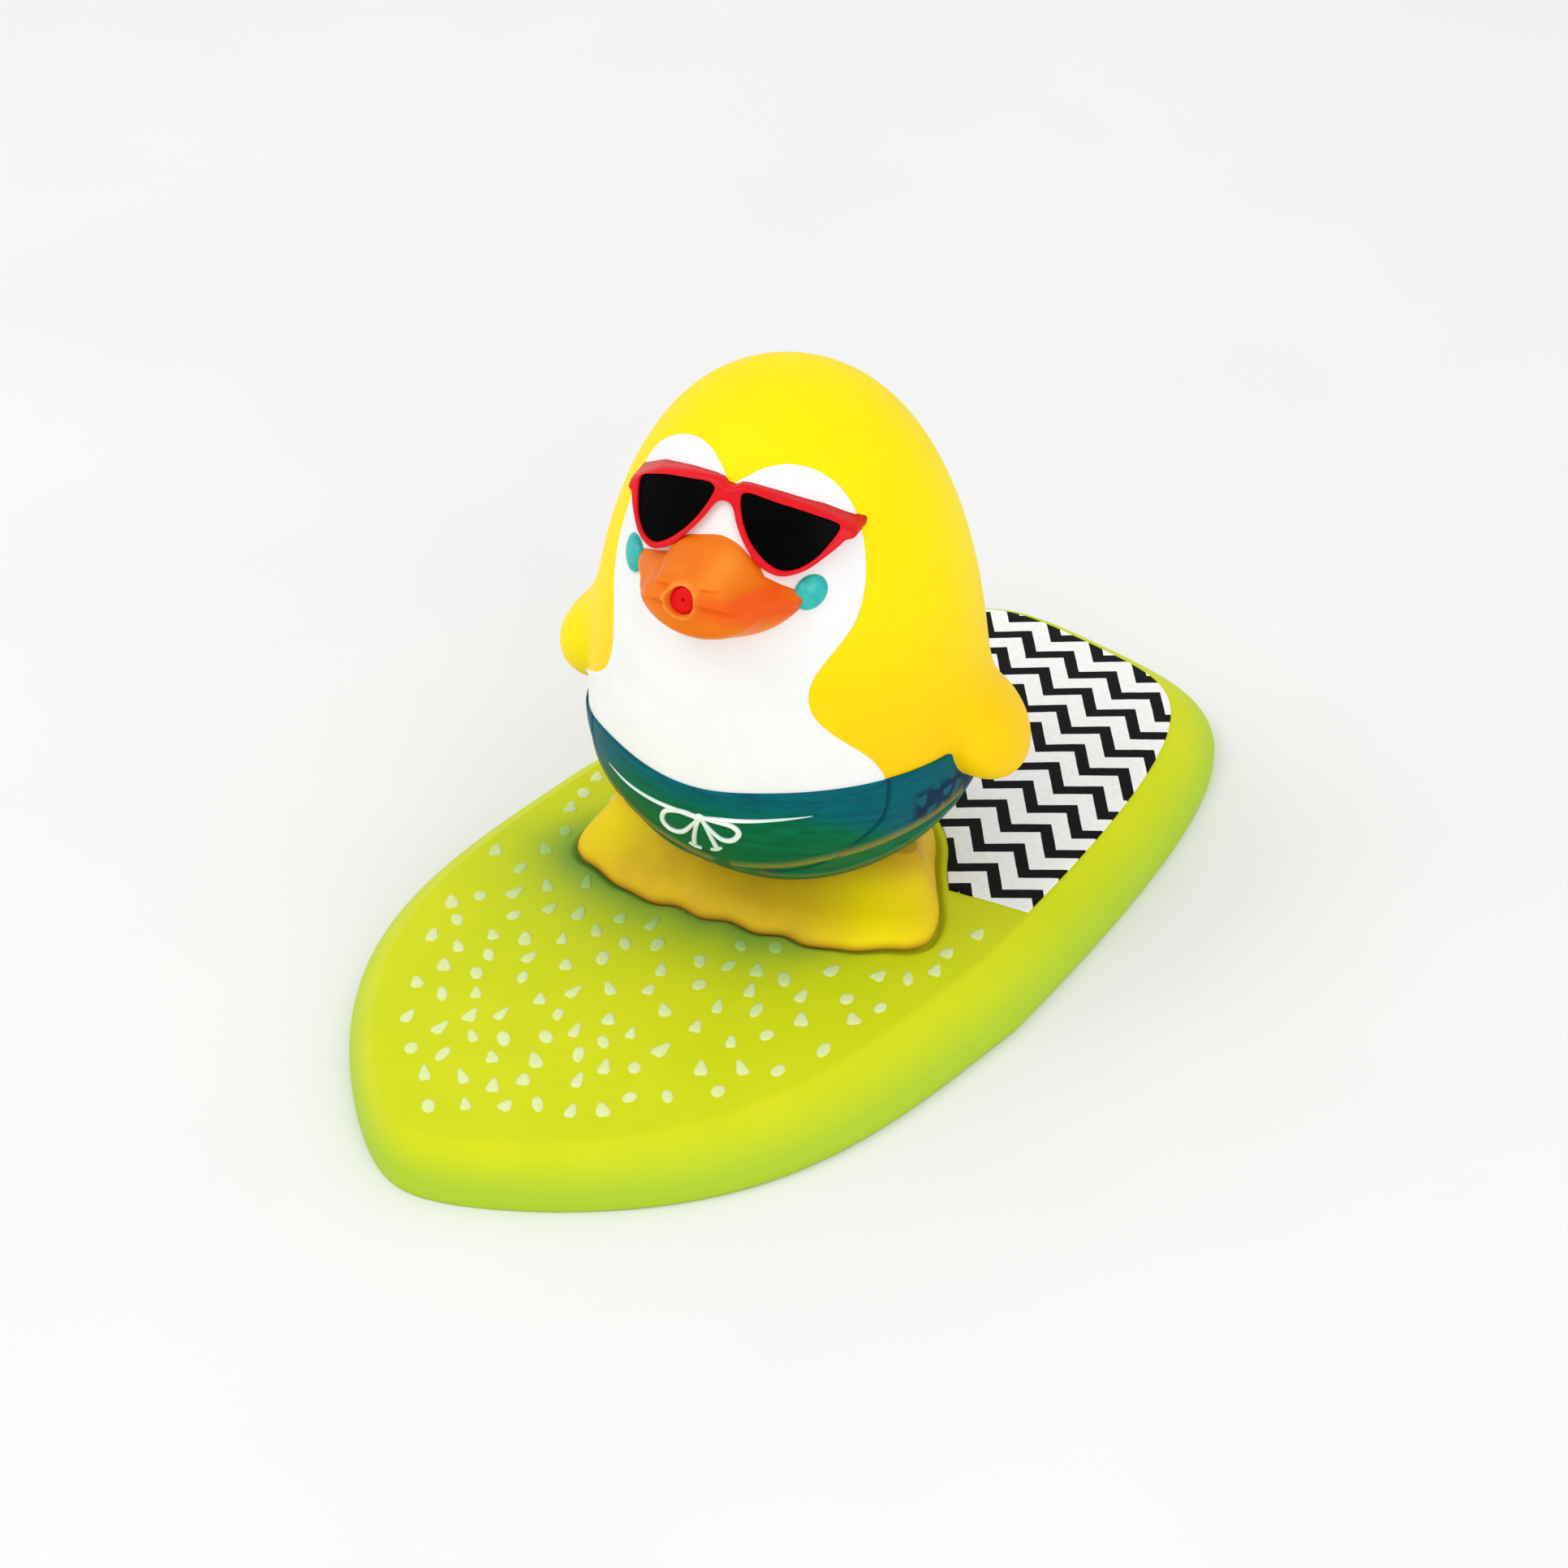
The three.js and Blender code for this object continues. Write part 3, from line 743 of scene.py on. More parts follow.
def bottom_plate():
    """The plate that closes the underside, set in by a hair and with a soft edge."""
    angles = board_angles(240)
    low, high = box_mm("board_bottom")
    outer = (high[0] - low[0]) / 2
    profile = [(outer * 0.5, low[2] + 0.02), (outer - 0.5, low[2] + 0.02), (outer, low[2] + 0.3),
               (outer, high[2] - 0.3), (outer - 0.5, high[2]), (outer * 0.5, high[2])]
    rings = [board_place(radius, angles, height) for radius, height in profile]
    add_piece("bottom_plate", closed_surface(rings), underside_material(), "board_underside",
              "board_bottom", body="surfboard")


deck_tree = board_shell()


def on_deck(flat, offset):
    """Points above the board's deck."""
    down = Vector((0, 0, -1))
    heights = []
    for x, y in flat:
        hit = deck_tree.ray_cast(Vector((x, y, 3 * DECK_HEIGHT)), down)[0]
        heights.append(hit.z if hit else crown_height(CREASE_RADIUS))
    return np.column_stack((flat, np.array(heights) + offset))


def tail_print():
    """The printed film on the tail. Its front edge is swept back and leaves a rim round the feet."""
    crease = board_place(CREASE_RADIUS - 0.3, board_angles(480), 0.0)[:, :2]
    is_behind = crease[:, 1] > PRINT_FRONT_Y + PRINT_SWEEP * np.abs(crease[:, 0])
    order = np.argsort(np.arctan2(crease[is_behind, 1] - PRINT_FRONT_Y, crease[is_behind, 0]))
    outline = even_loop(np.vstack((crease[is_behind][order], (0, PRINT_FRONT_Y))), 0.9)
    rim = grown(feet_loop, PRINT_RIM)
    rim = to_board(np.column_stack((rim, np.zeros(len(rim)))))[:, :2]
    surface = sheet([outline, rim], 1.6, 0.15, on_deck, (0.02, 0.1, 0.28))
    add_piece("tail_print", surface, chevron_material(), "chevron_print", "deck_print",
              body="surfboard")


def speckle_centres(chance):
    """Random places on the deck, in front of the print and clear of the feet."""
    crease = board_place(CREASE_RADIUS - 2.2, board_angles(200), 0.0)[:, :2]
    low, high = crease.min(axis=0), crease.max(axis=0)
    centres = []
    for _ in range(SPECKLE_TRIES):
        spot = np.array((chance.uniform(low[0], high[0]), chance.uniform(low[1], high[1])))
        if all(np.hypot(*(spot - other)) > SPECKLE_SPACING for other in centres):
            centres.append(spot)
    centres = np.array(centres)
    front = PRINT_FRONT_Y + PRINT_SWEEP * np.abs(centres[:, 0])
    kept = is_inside(centres, crease) & (distance_outside_feet(centres) > 3)
    return centres[kept & (centres[:, 1] < front - 2)]


def speckle(centre, chance):
    """A low pebble, from an oval to a rounded triangle, at a random slant."""
    turn = full_turn(18)
    corner, length = chance.choice((0, 0.14, 0.2)), chance.uniform(1.25, 1.75)
    width = chance.uniform(0.75, 1.05)
    heading = chance.uniform(1.5, 2.6)
    shape = 1 + corner * np.cos(3 * turn)
    flat = turned(length * shape * np.cos(turn), width * shape * np.sin(turn), heading)
    flat = np.stack(flat, axis=1)
    rings = ((1, -0.1), (1, 0.02), (0.86, 0.13), (0.5, 0.18))
    return closed_surface([on_deck(centre + flat * size, rise) for size, rise in rings])


def speckles():
    """Pale pebble spots over the front of the deck."""
    chance = random.Random(7)
    points, faces = merged(speckle(centre, chance) for centre in speckle_centres(chance))
    # The spots take the painted shadow round the feet, a little stronger.
    spray = np.clip(spray_strength(points) * 1.5, 0, 0.85)
    add_piece("deck_speckles", (points, faces), speckle_material(), "board_vinyl",
              body="surfboard", spray=spray)


bottom_plate()
tail_print()
speckles()


# ---- Penguin body ----


def egg_bend(z):
    """The two powers that bend the egg's outline at each height, and how far that half reaches."""
    is_head = z > BODY_WIDEST_Z
    power, root = (np.where(is_head, head, base) for head, base in zip(HEAD_BEND, BASE_BEND))
    return power, root, np.where(is_head, BODY_TOP_Z - BODY_WIDEST_Z, BODY_WIDEST_Z - BODY_BOTTOM_Z)


def egg_field(x, y, z):
    """About the distance outside the egg-shaped body, in the penguin's frame."""
    power, root, reach = egg_bend(z)
    ring = np.hypot(x, y / BODY_DEPTH_RATIO) / BODY_RADIUS + 1e-6
    rise = np.abs(z - BODY_WIDEST_Z) / reach + 1e-6
    value = ring**root + rise**power - 1
    slope = np.hypot(root * ring ** (root - 1) / BODY_RADIUS, power * rise ** (power - 1) / reach)
    return value / np.maximum(slope, 0.01)


def one_flipper_field(out, y, z, flipper):
    """About the distance outside a flipper, with out to its own side."""
    half_size, centre, tilt, sweep = flipper
    thick, long = turned(out - centre[0], z - centre[2], -tilt)
    across, back = turned(thick, y - centre[1], -sweep)
    local = np.stack((across, back, long), axis=-1) / half_size
    size = np.linalg.norm(local, axis=-1)
    steep = np.linalg.norm(local / half_size, axis=-1)
    return size * (size - 1) / np.maximum(steep, 1e-6)


def flipper_field(x, y, z):
    """About the distance outside the nearer flipper."""
    left = one_flipper_field(x, y, z, LEFT_FLIPPER)
    right = one_flipper_field(-x, y, z, RIGHT_FLIPPER)
    return np.where(x > 0, left, right)


def body_field(x, y, z):
    """The egg with its flippers. They melt into it at the shoulder, and meet it in a crease below."""
    egg, flipper = egg_field(x, y, z), flipper_field(x, y, z)
    melt = FLIPPER_MELT + SHOULDER_MELT * smoothstep(44, 62, z)
    near = np.maximum(melt - np.abs(egg - flipper), 0) / melt
    return np.minimum(egg, flipper) - near * near * melt / 4


def on_egg(angle, z, offset):
    """Points at offset outside the egg, at an angle from the front toward the penguin's left."""
    power, root, reach = egg_bend(z)
    part = np.clip(np.abs(z - BODY_WIDEST_Z) / (reach + offset), 0, 1)
    radius = (BODY_RADIUS + offset) * (1 - part**power) ** (1 / root)
    x = radius * np.sin(angle)
    y = -BODY_DEPTH_RATIO * radius * np.cos(angle)
    return np.stack(np.broadcast_arrays(x, y, z), axis=-1)


def crossing(is_outside, count, outer):
    """Where count lines cross a surface, between outer and the middle of the body."""
    outer, inner = np.full(count, outer), np.zeros(count)
    for _ in range(28):
        middle = (outer + inner) / 2
        outside = is_outside(middle)
        outer, inner = np.where(outside, middle, outer), np.where(outside, inner, middle)
    return (outer + inner) / 2


def front_y(x, z, offset):
    """How far forward the egg's skin is, at offset outside it, seen from the front."""
    return crossing(lambda y: egg_field(x, y, z) > offset, len(x), -2 * BODY_RADIUS)


def on_face(flat, offset):
    """Front-view points (x, z) laid on the egg, in the board's frame."""
    x, z = flat.T
    return to_board(np.stack((x, front_y(x, z, offset), z), axis=1))


def patch_field(x, y, z):
    """The body, without the undersides of the flippers."""
    return np.maximum(body_field(x, y, z), egg_field(x, y, z) - PATCH_RISE)


def round_body(flat, offset):
    """Points (degrees round from the front times BODY_ARC, z) laid on the egg with its flippers."""
    angle, z = flat[:, 0] / BODY_ARC * math.pi / 180, flat[:, 1]
    ahead = np.stack((np.sin(angle), -BODY_DEPTH_RATIO * np.cos(angle)))
    reach = crossing(lambda out: patch_field(*(out * ahead), z) > offset, len(flat), 2 * BODY_RADIUS)
    return to_board(np.stack((*(reach * ahead), z), axis=1))


def egg_rings(count, segments):
    """Level rings of the egg, closer together toward its ends."""
    turn = np.linspace(-math.pi / 2, math.pi / 2, count + 2)[1:-1]
    power, _, reach = egg_bend(BODY_WIDEST_Z + turn)
    heights = BODY_WIDEST_Z + reach * np.sign(turn) * np.abs(np.sin(turn)) ** (2 / power)
    return np.array([on_egg(full_turn(segments), height, 0) for height in heights])


def flipper_rings(side, flipper, count, segments):
    """Rings of a flipper's ellipsoid, on the side +1 or -1."""
    half_size, centre, tilt, sweep = flipper
    turn = np.linspace(-math.pi / 2, math.pi / 2, count + 2)[1:-1, None]
    angle = full_turn(segments)
    ball = np.broadcast_arrays(np.cos(turn) * np.cos(angle), np.cos(turn) * np.sin(angle),
                               np.sin(turn))
    across, back, long = (size * place for size, place in zip(half_size, ball))
    thick, back = turned(across, back, sweep)
    out, up = turned(thick, long, tilt)
    return (np.stack((out, back, up), axis=-1) + centre) * (side, 1, 1)


def remeshed(parts, voxel):
    """One skin round overlapping parts: its points in millimetres, its faces and its mesh."""
    mesh = closed_mesh("rough_body", *merged(closed_surface(rings) for rings in parts))
    rough = new_object("rough_body", mesh)
    modifier = rough.modifiers.new("skin", "REMESH")
    modifier.mode = "VOXEL"
    modifier.voxel_size = voxel * MM
    skin = bpy.data.meshes.new_from_object(rough.evaluated_get(bpy.context.evaluated_depsgraph_get()))
    bpy.data.objects.remove(rough)
    places = np.zeros(len(skin.vertices) * 3)
    skin.vertices.foreach_get("co", places)
    return places.reshape(-1, 3) / MM, [tuple(face.vertices) for face in skin.polygons], skin


def settle(points, rounds):
    """Moves points straight onto the body's skin."""
    step = 0.05
    for _ in range(rounds):
        value = body_field(*points.T)
        ahead, behind = ([body_field(*(points + shift).T) for shift in side * step * np.eye(3)]
                         for side in (1, -1))
        slope = np.subtract(ahead, behind).T / (2 * step)
        points = points - slope * (value / np.maximum((slope**2).sum(axis=1), 0.05))[:, None]
    return points


def relaxed(points, mesh, rounds):
    """Evens the spacing of the points and keeps them on the body's skin."""
    edges = np.zeros(len(mesh.edges) * 2, int)
    mesh.edges.foreach_get("vertices", edges)
    first, second = edges.reshape(-1, 2).T
    degree = np.bincount(edges, minlength=len(points))[:, None]
    for _ in range(rounds):
        total = np.zeros_like(points)
        np.add.at(total, first, points[second])
        np.add.at(total, second, points[first])
        points = settle(points * 0.4 + total / degree * 0.6, rounds=1)
    return points


def penguin_skin():
    """Head, back and flippers in one skin."""
    flippers = [flipper_rings(1, LEFT_FLIPPER, 40, 60), flipper_rings(-1, RIGHT_FLIPPER, 40, 60)]
    points, faces, rough = remeshed([egg_rings(90, 180)] + flippers, voxel=0.75)
    points = settle(points, rounds=6)
    points = settle(relaxed(points, rough, rounds=6), rounds=3)
    add_piece("penguin_skin", (to_board(points), faces), body_material(), "yellow_vinyl",
              "penguin_body")


penguin_skin()

# The outline of the white front, in (degrees round from the front, height).
FRONT_OUTLINE = (
    (-5, 88.4), (1.5, 89.4), (9, 90.6), (21, 91.3), (34, 90.8), (43, 89.4), (48, 87.5), (50.5, 85.2),
    (51, 82), (50, 78.5), (47.8, 74.8), (44, 71.2), (39, 68.4), (33.5, 65.6), (29.7, 63), (28.2, 60.3),
    (29.3, 57.5), (33, 55), (38.6, 52.4), (44.4, 49.8), (48.5, 47), (50.6, 44), (51, 37.5),
    (-76, 37.5), (-74, 42.6), (-66, 45.2), (-58, 48), (-50, 50.6), (-44, 53.2), (-41, 56.2), (-40.8, 60),
    (-44, 64.8), (-48, 68.6), (-51.4, 72.4), (-53.6, 76.4), (-56, 80), (-58.5, 83.4), (-59, 86.2),
    (-54.5, 88.6), (-46, 90.3), (-35, 91.2), (-22, 91), (-12, 89.8),
)


def front_patch():
    """The white face and belly, down behind the waist of the trunks."""
    outline = even_loop(smooth_loop(FRONT_OUTLINE, 1600) * (BODY_ARC, 1), 0.5)
    surface = sheet([outline], 0.9, 0.5, round_body, (-0.5, 0.0, 0.16))
    add_piece("front_patch", surface, front_material(), "white_vinyl", "front_panel")


front_patch()


# ---- Swim trunks ----


def waist_height(angle):
    """The waist slopes up to the penguin's left, and dips in front and under its right flipper."""
    turn = np.degrees((angle + math.pi) % (2 * math.pi) - math.pi)
    bends = sum(rise * bell(turn - middle, width) for middle, rise, width in WAIST_BENDS)
    return WAIST_Z - 0.8 + WAIST_SLOPE * np.sin(2 * angle) + bends


# Lines on the trunks' side, in (degrees round from the front, height). Both sides have them.
SEAM = ((51, 46), (51, 43), (49.5, 38.5), (44.5, 35), (37.7, 31.3), (30, 28.2), (21.3, 26.4), (8, 25))
UPPER_HEM = ((4, 27), (20, 28.8), (32, 30.6), (43, 32), (54, 33.2), (66, 34.4), (80, 35.6))
LOWER_HEM = ((4, 25.4), (20, 25.2), (36, 25.5), (48, 27.4), (60, 29.1), (70, 31.6), (80, 33))


def trunks():
    """A cup round the base with a lipped waist, a side seam and a double hem."""
    angle = full_turn(720)
    top, bottom = waist_height(angle), TRUNKS_LOW[2]
    profile = [(bottom + (top - 0.25 - bottom) * part, TRUNKS_PROUD) for part in np.linspace(0, 1, 130)]
    lip = ((0.12, 0.55), (0.03, 0.4), (0, 0.2), (0.05, -0.1), (1.5, -0.4))
    profile += [(top - drop, offset) for drop, offset in lip]
    rings = np.array([on_egg(angle, height, offset) for height, offset in profile])
    heights = np.array([height for height, _ in profile])
    turn = np.broadcast_to(np.degrees(np.minimum(angle, 2 * math.pi - angle)), heights.shape)
    flat = np.stack((turn * BODY_ARC, heights), axis=-1).reshape(-1, 2)
    seam, upper, lower = (
        distance_to_path(flat, smooth_path(curve, 60) * (BODY_ARC, 1), closed=False).reshape(turn.shape)
        for curve in (SEAM, UPPER_HEM, LOWER_HEM)
    )
    lift = HEM_RISE * (bell(upper, 0.55) + bell(lower, 0.55)) - SEAM_DEPTH * bell(seam, 0.3)
    outward = rings - (0, 0, BODY_WIDEST_Z)
    outward /= np.linalg.norm(outward, axis=-1, keepdims=True)
    points, faces = closed_surface(rings + outward * lift[..., None])
    petal_band = smoothstep(33, 35, heights) * smoothstep(41.5, 39.5, heights)
    painted = {
        "seam": bell(seam, 0.32) * 0.9,
        "hem": bell(upper, 0.7) * 0.8 + bell(lower, 0.35) * 0.5,
        "side": smoothstep(25, 60, turn),
        "petals": smoothstep(58, 62, turn) * petal_band,
    }
    painted = {name: np.pad(values.ravel(), 1) for name, values in painted.items()}
    add_piece("swim_shorts", (to_board(points), faces), trunks_material(), "trunks_vinyl",
              "swim_trunks", **painted)


trunks()


def cord(curve, widths, steps):
    """Rings of a flat cord on the trunks, along (degrees, height), with widths from end to end."""
    path = smooth_path(curve, steps)
    angle, z = np.radians(path[:, 0]), path[:, 1]
    spine = on_egg(angle, z, TRUNKS_PROUD + 0.1)
    outward = on_egg(angle, z, TRUNKS_PROUD + 1.1) - spine
    outward /= np.linalg.norm(outward, axis=1, keepdims=True)
    along = np.gradient(spine, axis=0)
    across = np.cross(along, outward)
    across /= np.linalg.norm(across, axis=1, keepdims=True)
    half = np.interp(np.linspace(0, 1, steps), np.linspace(0, 1, len(widths)), widths) / 2
    turn = full_turn(12)
    wide = across[:, None] * (half[:, None] * np.cos(turn))[..., None]
    high = outward[:, None] * (np.minimum(half, 0.4)[:, None] * np.sin(turn))[..., None]
    return spine[:, None] + wide + high


def drawstring():
    """The painted cord: a line round the waist, a bow and two tails with capped ends."""
    knot = (-2.6, 37.8)
    cords = [
        cord(((-38, 38.3), (-28.7, 37.6), (-19, 37.5), (-10.6, 37.7), knot, (4, 38.5), (12, 39.2),
              (20.3, 40), (29, 40.7)), (0.1, 0.4, 0.6, 0.7, 0.8, 0.75, 0.6, 0.45, 0.1), 90),
        cord((knot, (-8.4, 37.8), (-14, 36.5), (-16.6, 33.8), (-14.6, 32.2), (-9.3, 33.2), knot),
             (0.6, 0.8, 0.8, 0.8, 0.8, 0.8, 0.5), 70),
        cord((knot, (2.6, 37.9), (7, 37.6), (8.6, 36.2), (6.3, 34.4), (2.5, 34.4), knot),
             (0.6, 0.8, 0.9, 0.9, 0.9, 0.8, 0.5), 70),
        cord((knot, (-4, 36), (-5.4, 33.8), (-7.4, 30.4)), (0.6, 0.7, 0.7, 0.8), 30),
        cord((knot, (-1.2, 36.4), (-0.2, 34.2), (0.8, 31.2)), (0.6, 0.7, 0.7, 0.8), 30),
        cord(((-9.2, 30.3), (-7.4, 30), (-5.2, 29.8)), (0.5, 0.7, 0.5), 12),
        cord(((-1.6, 30.4), (0.6, 31), (2.4, 31.8)), (0.5, 0.7, 0.5), 12),
        cord(((-4.4, 37.6), knot, (-0.8, 37.8)), (0.8, 1.4, 0.8), 14),
    ]
    points, faces = merged(closed_surface(rings) for rings in cords)
    add_piece("bow_cord", (to_board(points), faces), cord_material(), "drawstring_paint",
              "trunks_drawstring")


drawstring()


# ---- Feet ----

FEET_PROFILE = (
    (0.96, 10.15), (1.0, 10.9), (1.0, 12), (0.97, 13.2), (0.9, 14.4), (0.8, 15.6), (0.7, 17),
    (0.6, 18.6), (0.5, 20.2), (0.4, 21.5),
)


def webbed_feet():
    """One base for both feet. The front slopes down to lobed toes, the sides and heel stay steep."""
    heart = np.array((FEET_SHIFT_X, 3))
    side_steepness = 0.75
    rim = feet_loop - heart
    rearward = smoothstep(-19, -4, feet_loop[:, 1])
    profile = smooth_path(FEET_PROFILE, 60)
    rings = []
    for share, height in profile:
        scale = 1 - (1 - share) * (1 - side_steepness * rearward)
        flat = heart + rim * scale[:, None]
        rings.append(np.column_stack((flat, np.full(len(flat), height))))
    points, faces = closed_surface(rings)
    x, y, z = points.T
    # Painted shade at the bottom edge and under the trunks; painted highlights on the two toes.
    brown = 0.7 * smoothstep(12.6, 10.8, z) + 0.5 * smoothstep(16.5, 21, z)
    left_toe = bell(np.hypot(x - 21, y + 13.5), 9)
    right_toe = 0.7 * bell(np.hypot(x + 25, y + 9), 7)
    add_piece("webbed_feet", (to_board(points), faces), feet_material(), "feet_vinyl", "feet",
              brown=np.clip(brown, 0, 0.85), bright=np.clip(right_toe + left_toe, 0, 1))


webbed_feet()


# ---- Face ----

BEAK_HALF = (
    (0, 82.1), (2.6, 81.5), (5, 79.9), (7.4, 77.9), (9.4, 76.8), (11.2, 76.4), (12.6, 76), (13, 74.8),
    (11.9, 73), (9.6, 71.1), (6.6, 69.8), (3, 68.8), (0, 68.5),
)
BEAK_MIDDLE = np.array((-1.1, 76.3))
BEAK_TIP = np.array((-1.5, -32.6, 75.8))
hole_axis = np.array((0, -math.cos(HOLE_TILT), math.sin(HOLE_TILT)))


def mouth_height(x):
    """The line where the two halves of the bill meet. It passes just over the hole."""
    return MOUTH_TOP_Z - MOUTH_SAG * ((x - BEAK_MIDDLE[0]) / 12.6) ** 2


def bill_rings(count, segments):
    """Rings from the bill's root on the face, past its swollen middle, to its blunt tip."""
    root = even_loop(smooth_loop(mirrored(BEAK_HALF), 1600) + (BEAK_MIDDLE[0], 0), 0.05)
    turn = np.arctan2(*(root - BEAK_MIDDLE).T[::-1])
    order = np.argsort(turn)
    angle = np.linspace(-math.pi, math.pi, segments, endpoint=False)
    reach = np.linalg.norm(root - BEAK_MIDDLE, axis=1)
    reach = np.interp(angle, turn[order], reach[order], period=2 * math.pi)
    reach = reach + 1.1 * bell(angle - math.radians(150), math.radians(22))
    fullness = 0.66 - 0.2 * bell(angle % (2 * math.pi) - math.radians(162), math.radians(24))
    direction = np.stack((np.cos(angle), np.sin(angle)), axis=1)
    tall = np.where(angle > 0, BILL_RISE, BILL_DROP)
    oval = 1 / np.hypot(direction[:, 0] / BILL_HALF_WIDTH, direction[:, 1] / tall)
    inner = (reach**-6 + oval**-6) ** (-1 / 6)
    root = BEAK_MIDDLE + direction * reach[:, None]
    root_y = front_y(root[:, 0], root[:, 1], -0.6)
    rings = []
    for part in np.linspace(0, 1, count + 1)[:-1]:
        lean = part * math.pi / 2
        section = reach + (inner - reach) * smoothstep(0, 0.4, part)
        section = section + (oval - section) * smoothstep(0.28, 0.95, part)
        centre = BEAK_MIDDLE * (1 - part) + BEAK_TIP[[0, 2]] * part
        flat = centre + direction * (section * math.cos(lean) ** fullness)[:, None]
        y = root_y + (BEAK_TIP[1] - root_y) * math.sin(lean) ** 0.85
        rings.append(np.column_stack((flat[:, 0], y, flat[:, 1])))
    return np.array(rings)


def bill():
    """A broad bill with a mouth line, and a raised lip round the hole at its tip.

    It gives back the middle of the hole.
    """
    points, faces = closed_surface(bill_rings(140, 280))
    is_front = smoothstep(-18.5, -20.5, points[:, 1])
    nearest = np.hypot(*(points[:, [0, 2]] - HOLE_PLACE).T) + 100 * (1 - is_front)
    hole_middle = points[np.argmin(nearest)]
    from_hole = points - hole_middle
    hole = np.linalg.norm(from_hole - np.outer(from_hole @ hole_axis, hole_axis), axis=1)
    x, _, z = points.T
    below = z - mouth_height(x)
    away = smoothstep(1.9, 3.2, hole)
    groove = 0.45 * bell(below - 0.8, 0.6) + 0.6 * bell(below + 0.95, 0.5)
    groove -= 0.8 * bell(below, 0.32) + 0.45 * bell(below + 1.9, 0.4)
    lip = 0.85 * bell(hole - HOLE_RADIUS - 0.45, 0.5)
    well = -1.6 * smoothstep(HOLE_RADIUS + 0.2, HOLE_RADIUS - 0.15, hole)
    lift = (groove * away + lip + well) * is_front
    points = points + np.outer(lift, hole_axis)
    # Painted shade under the mouth line, where the upper bill overhangs; pale holds painted highlights
    # on the lip round the hole and on the upper bill above it.
    under = smoothstep(0, -0.8, below) * smoothstep(-5.5, -1.2, below)
    deep = np.clip(0.75 * under * smoothstep(-7, 7, x), 0, 1)
    pale = bell(hole - HOLE_RADIUS - 0.5, 0.35) + bell(np.hypot(x - 1.5, (below - 1.6) * 1.6), 2.2)
    add_piece("bill", (to_board(points), faces), beak_material(), "orange_vinyl", "beak",
              deep=deep, pale=np.clip(pale, 0, 1) * 0.8)
    return hole_middle


def red_nozzle(hole_middle):
    """The red insert that nearly fills the hole, with the pinhole in its middle."""
    outer = HOLE_RADIUS - 0.03
    profile = ((outer, -4), (outer, -0.85), (outer - 0.1, -0.65), (outer - 0.35, -0.55), (0.8, -0.6),
               (0.35, -0.68), (0.2, -0.85), (0.16, -3))
    across = np.array((1, 0, 0))
    up = np.cross(across, hole_axis)
    turn = full_turn(64)
    circle = np.outer(np.cos(turn), across) + np.outer(np.sin(turn), up)
    rings = [hole_middle + radius * circle + depth * hole_axis for radius, depth in profile]
    points, faces = closed_surface(rings)
    add_piece("red_nozzle", (to_board(points), faces), nozzle_material(), "nozzle_vinyl",
              "squirt_nozzle")


red_nozzle(bill())

FRAME_HALF = (
    (0, 88.5), (0.8, 88.6), (1.6, 89), (3.6, 89), (7.5, 88.4), (11.5, 87.2), (13.3, 86.4),
    (15.6, 85), (17.1, 84), (17.5, 83.7), (17.7, 82.8), (17.5, 82.6), (16.7, 82.5), (16.1, 81.7),
    (14.9, 80.4), (13.4, 79), (11.7, 78.2), (10, 78), (8.2, 78.6), (6.4, 79.7), (4.9, 81.3),
    (3.7, 82.7), (2.4, 84.5), (1.6, 85.9), (0.9, 86.6), (0, 86.8),
)
LENS = (
    (2.1, 87.7), (2.5, 88.2), (3.6, 88.3), (6, 87.9), (10, 87), (13.2, 85.9), (15, 85.1),
    (15.6, 84.5), (15.5, 83.6), (14.9, 82.2), (13.9, 80.5), (12.2, 79.1), (10.3, 78.7),
    (8.6, 79.3), (6.9, 80.5), (5.1, 82.2), (3.6, 84.2), (2.6, 86.1),
)


def seated(loop):
    """Glasses as they sit on the face: a little to its right, with a slight tilt and lean."""
    x, z = loop.T
    part = (x / GLASSES_HALF_WIDTH) ** 2
    lean = 0.07 * (z - 86)
    tilt = 0.0055 * x * (87 - z)
    return np.stack((x + GLASSES_SHIFT_X + 0.9 * part + lean, z + tilt + 0.3 * part), axis=1)


def on_glasses(flat, offset):
    """The glasses are flatter than the face, so their ends are thicker. Their back stays in it."""
    thicker = GLASSES_THICKER_AT_ENDS * (flat[:, 0] / GLASSES_HALF_WIDTH) ** 2
    return on_face(flat, offset + (offset > 0) * thicker)


def glasses():
    """Red frame in one piece, with two black lenses set a little back in it."""
    rim = even_loop(seated(smooth_loop(mirrored(FRAME_HALF), 1800)), 0.35)
    left = smooth_loop(LENS, 900)
    right = (left * (-1, 1))[::-1]
    openings = [even_loop(seated(loop), 0.35) for loop in (left, right)]
    surface = sheet([rim] + openings, 0.5, 0.35, on_glasses, (-0.4, 0.9, 1.3))
    add_piece("glasses_frame", surface, glasses_material(), "red_frame", "sunglasses_frame")
    for name, opening in zip(("left", "right"), openings):
        loop = even_loop(grown(opening, 0.15), 0.4)
        surface = sheet([loop], 0.7, 0.5, on_glasses, (-0.4, 0.65, 0.9))
        add_piece(f"glasses_lens_{name}", surface, lens_material(), "black_lens",
                  f"sunglasses_lens_{name}")


glasses()


def cheeks():
    """Two glossy painted domes at the ends of the beak."""
    turn = full_turn(72)
    for name in ("left", "right"):
        low, high = box_mm(f"cheek_{name}")
        middle = to_penguin(((low + high) / 2)[None])[0]
        centre = np.array((middle[0] - 0.3, (low[2] + high[2]) / 2))
        outline = centre + CHEEK_RADIUS * np.stack((np.cos(turn) * 0.86, np.sin(turn)), axis=1)
        surface = sheet([outline], 0.35, CHEEK_RADIUS * 0.85, on_face, (-0.4, 0.1, 1.25))
        add_piece(f"cheek_dome_{name}", surface, cheek_material(), "teal_cheek", f"cheek_{name}")


cheeks()


# ---- Stage, light and camera ----

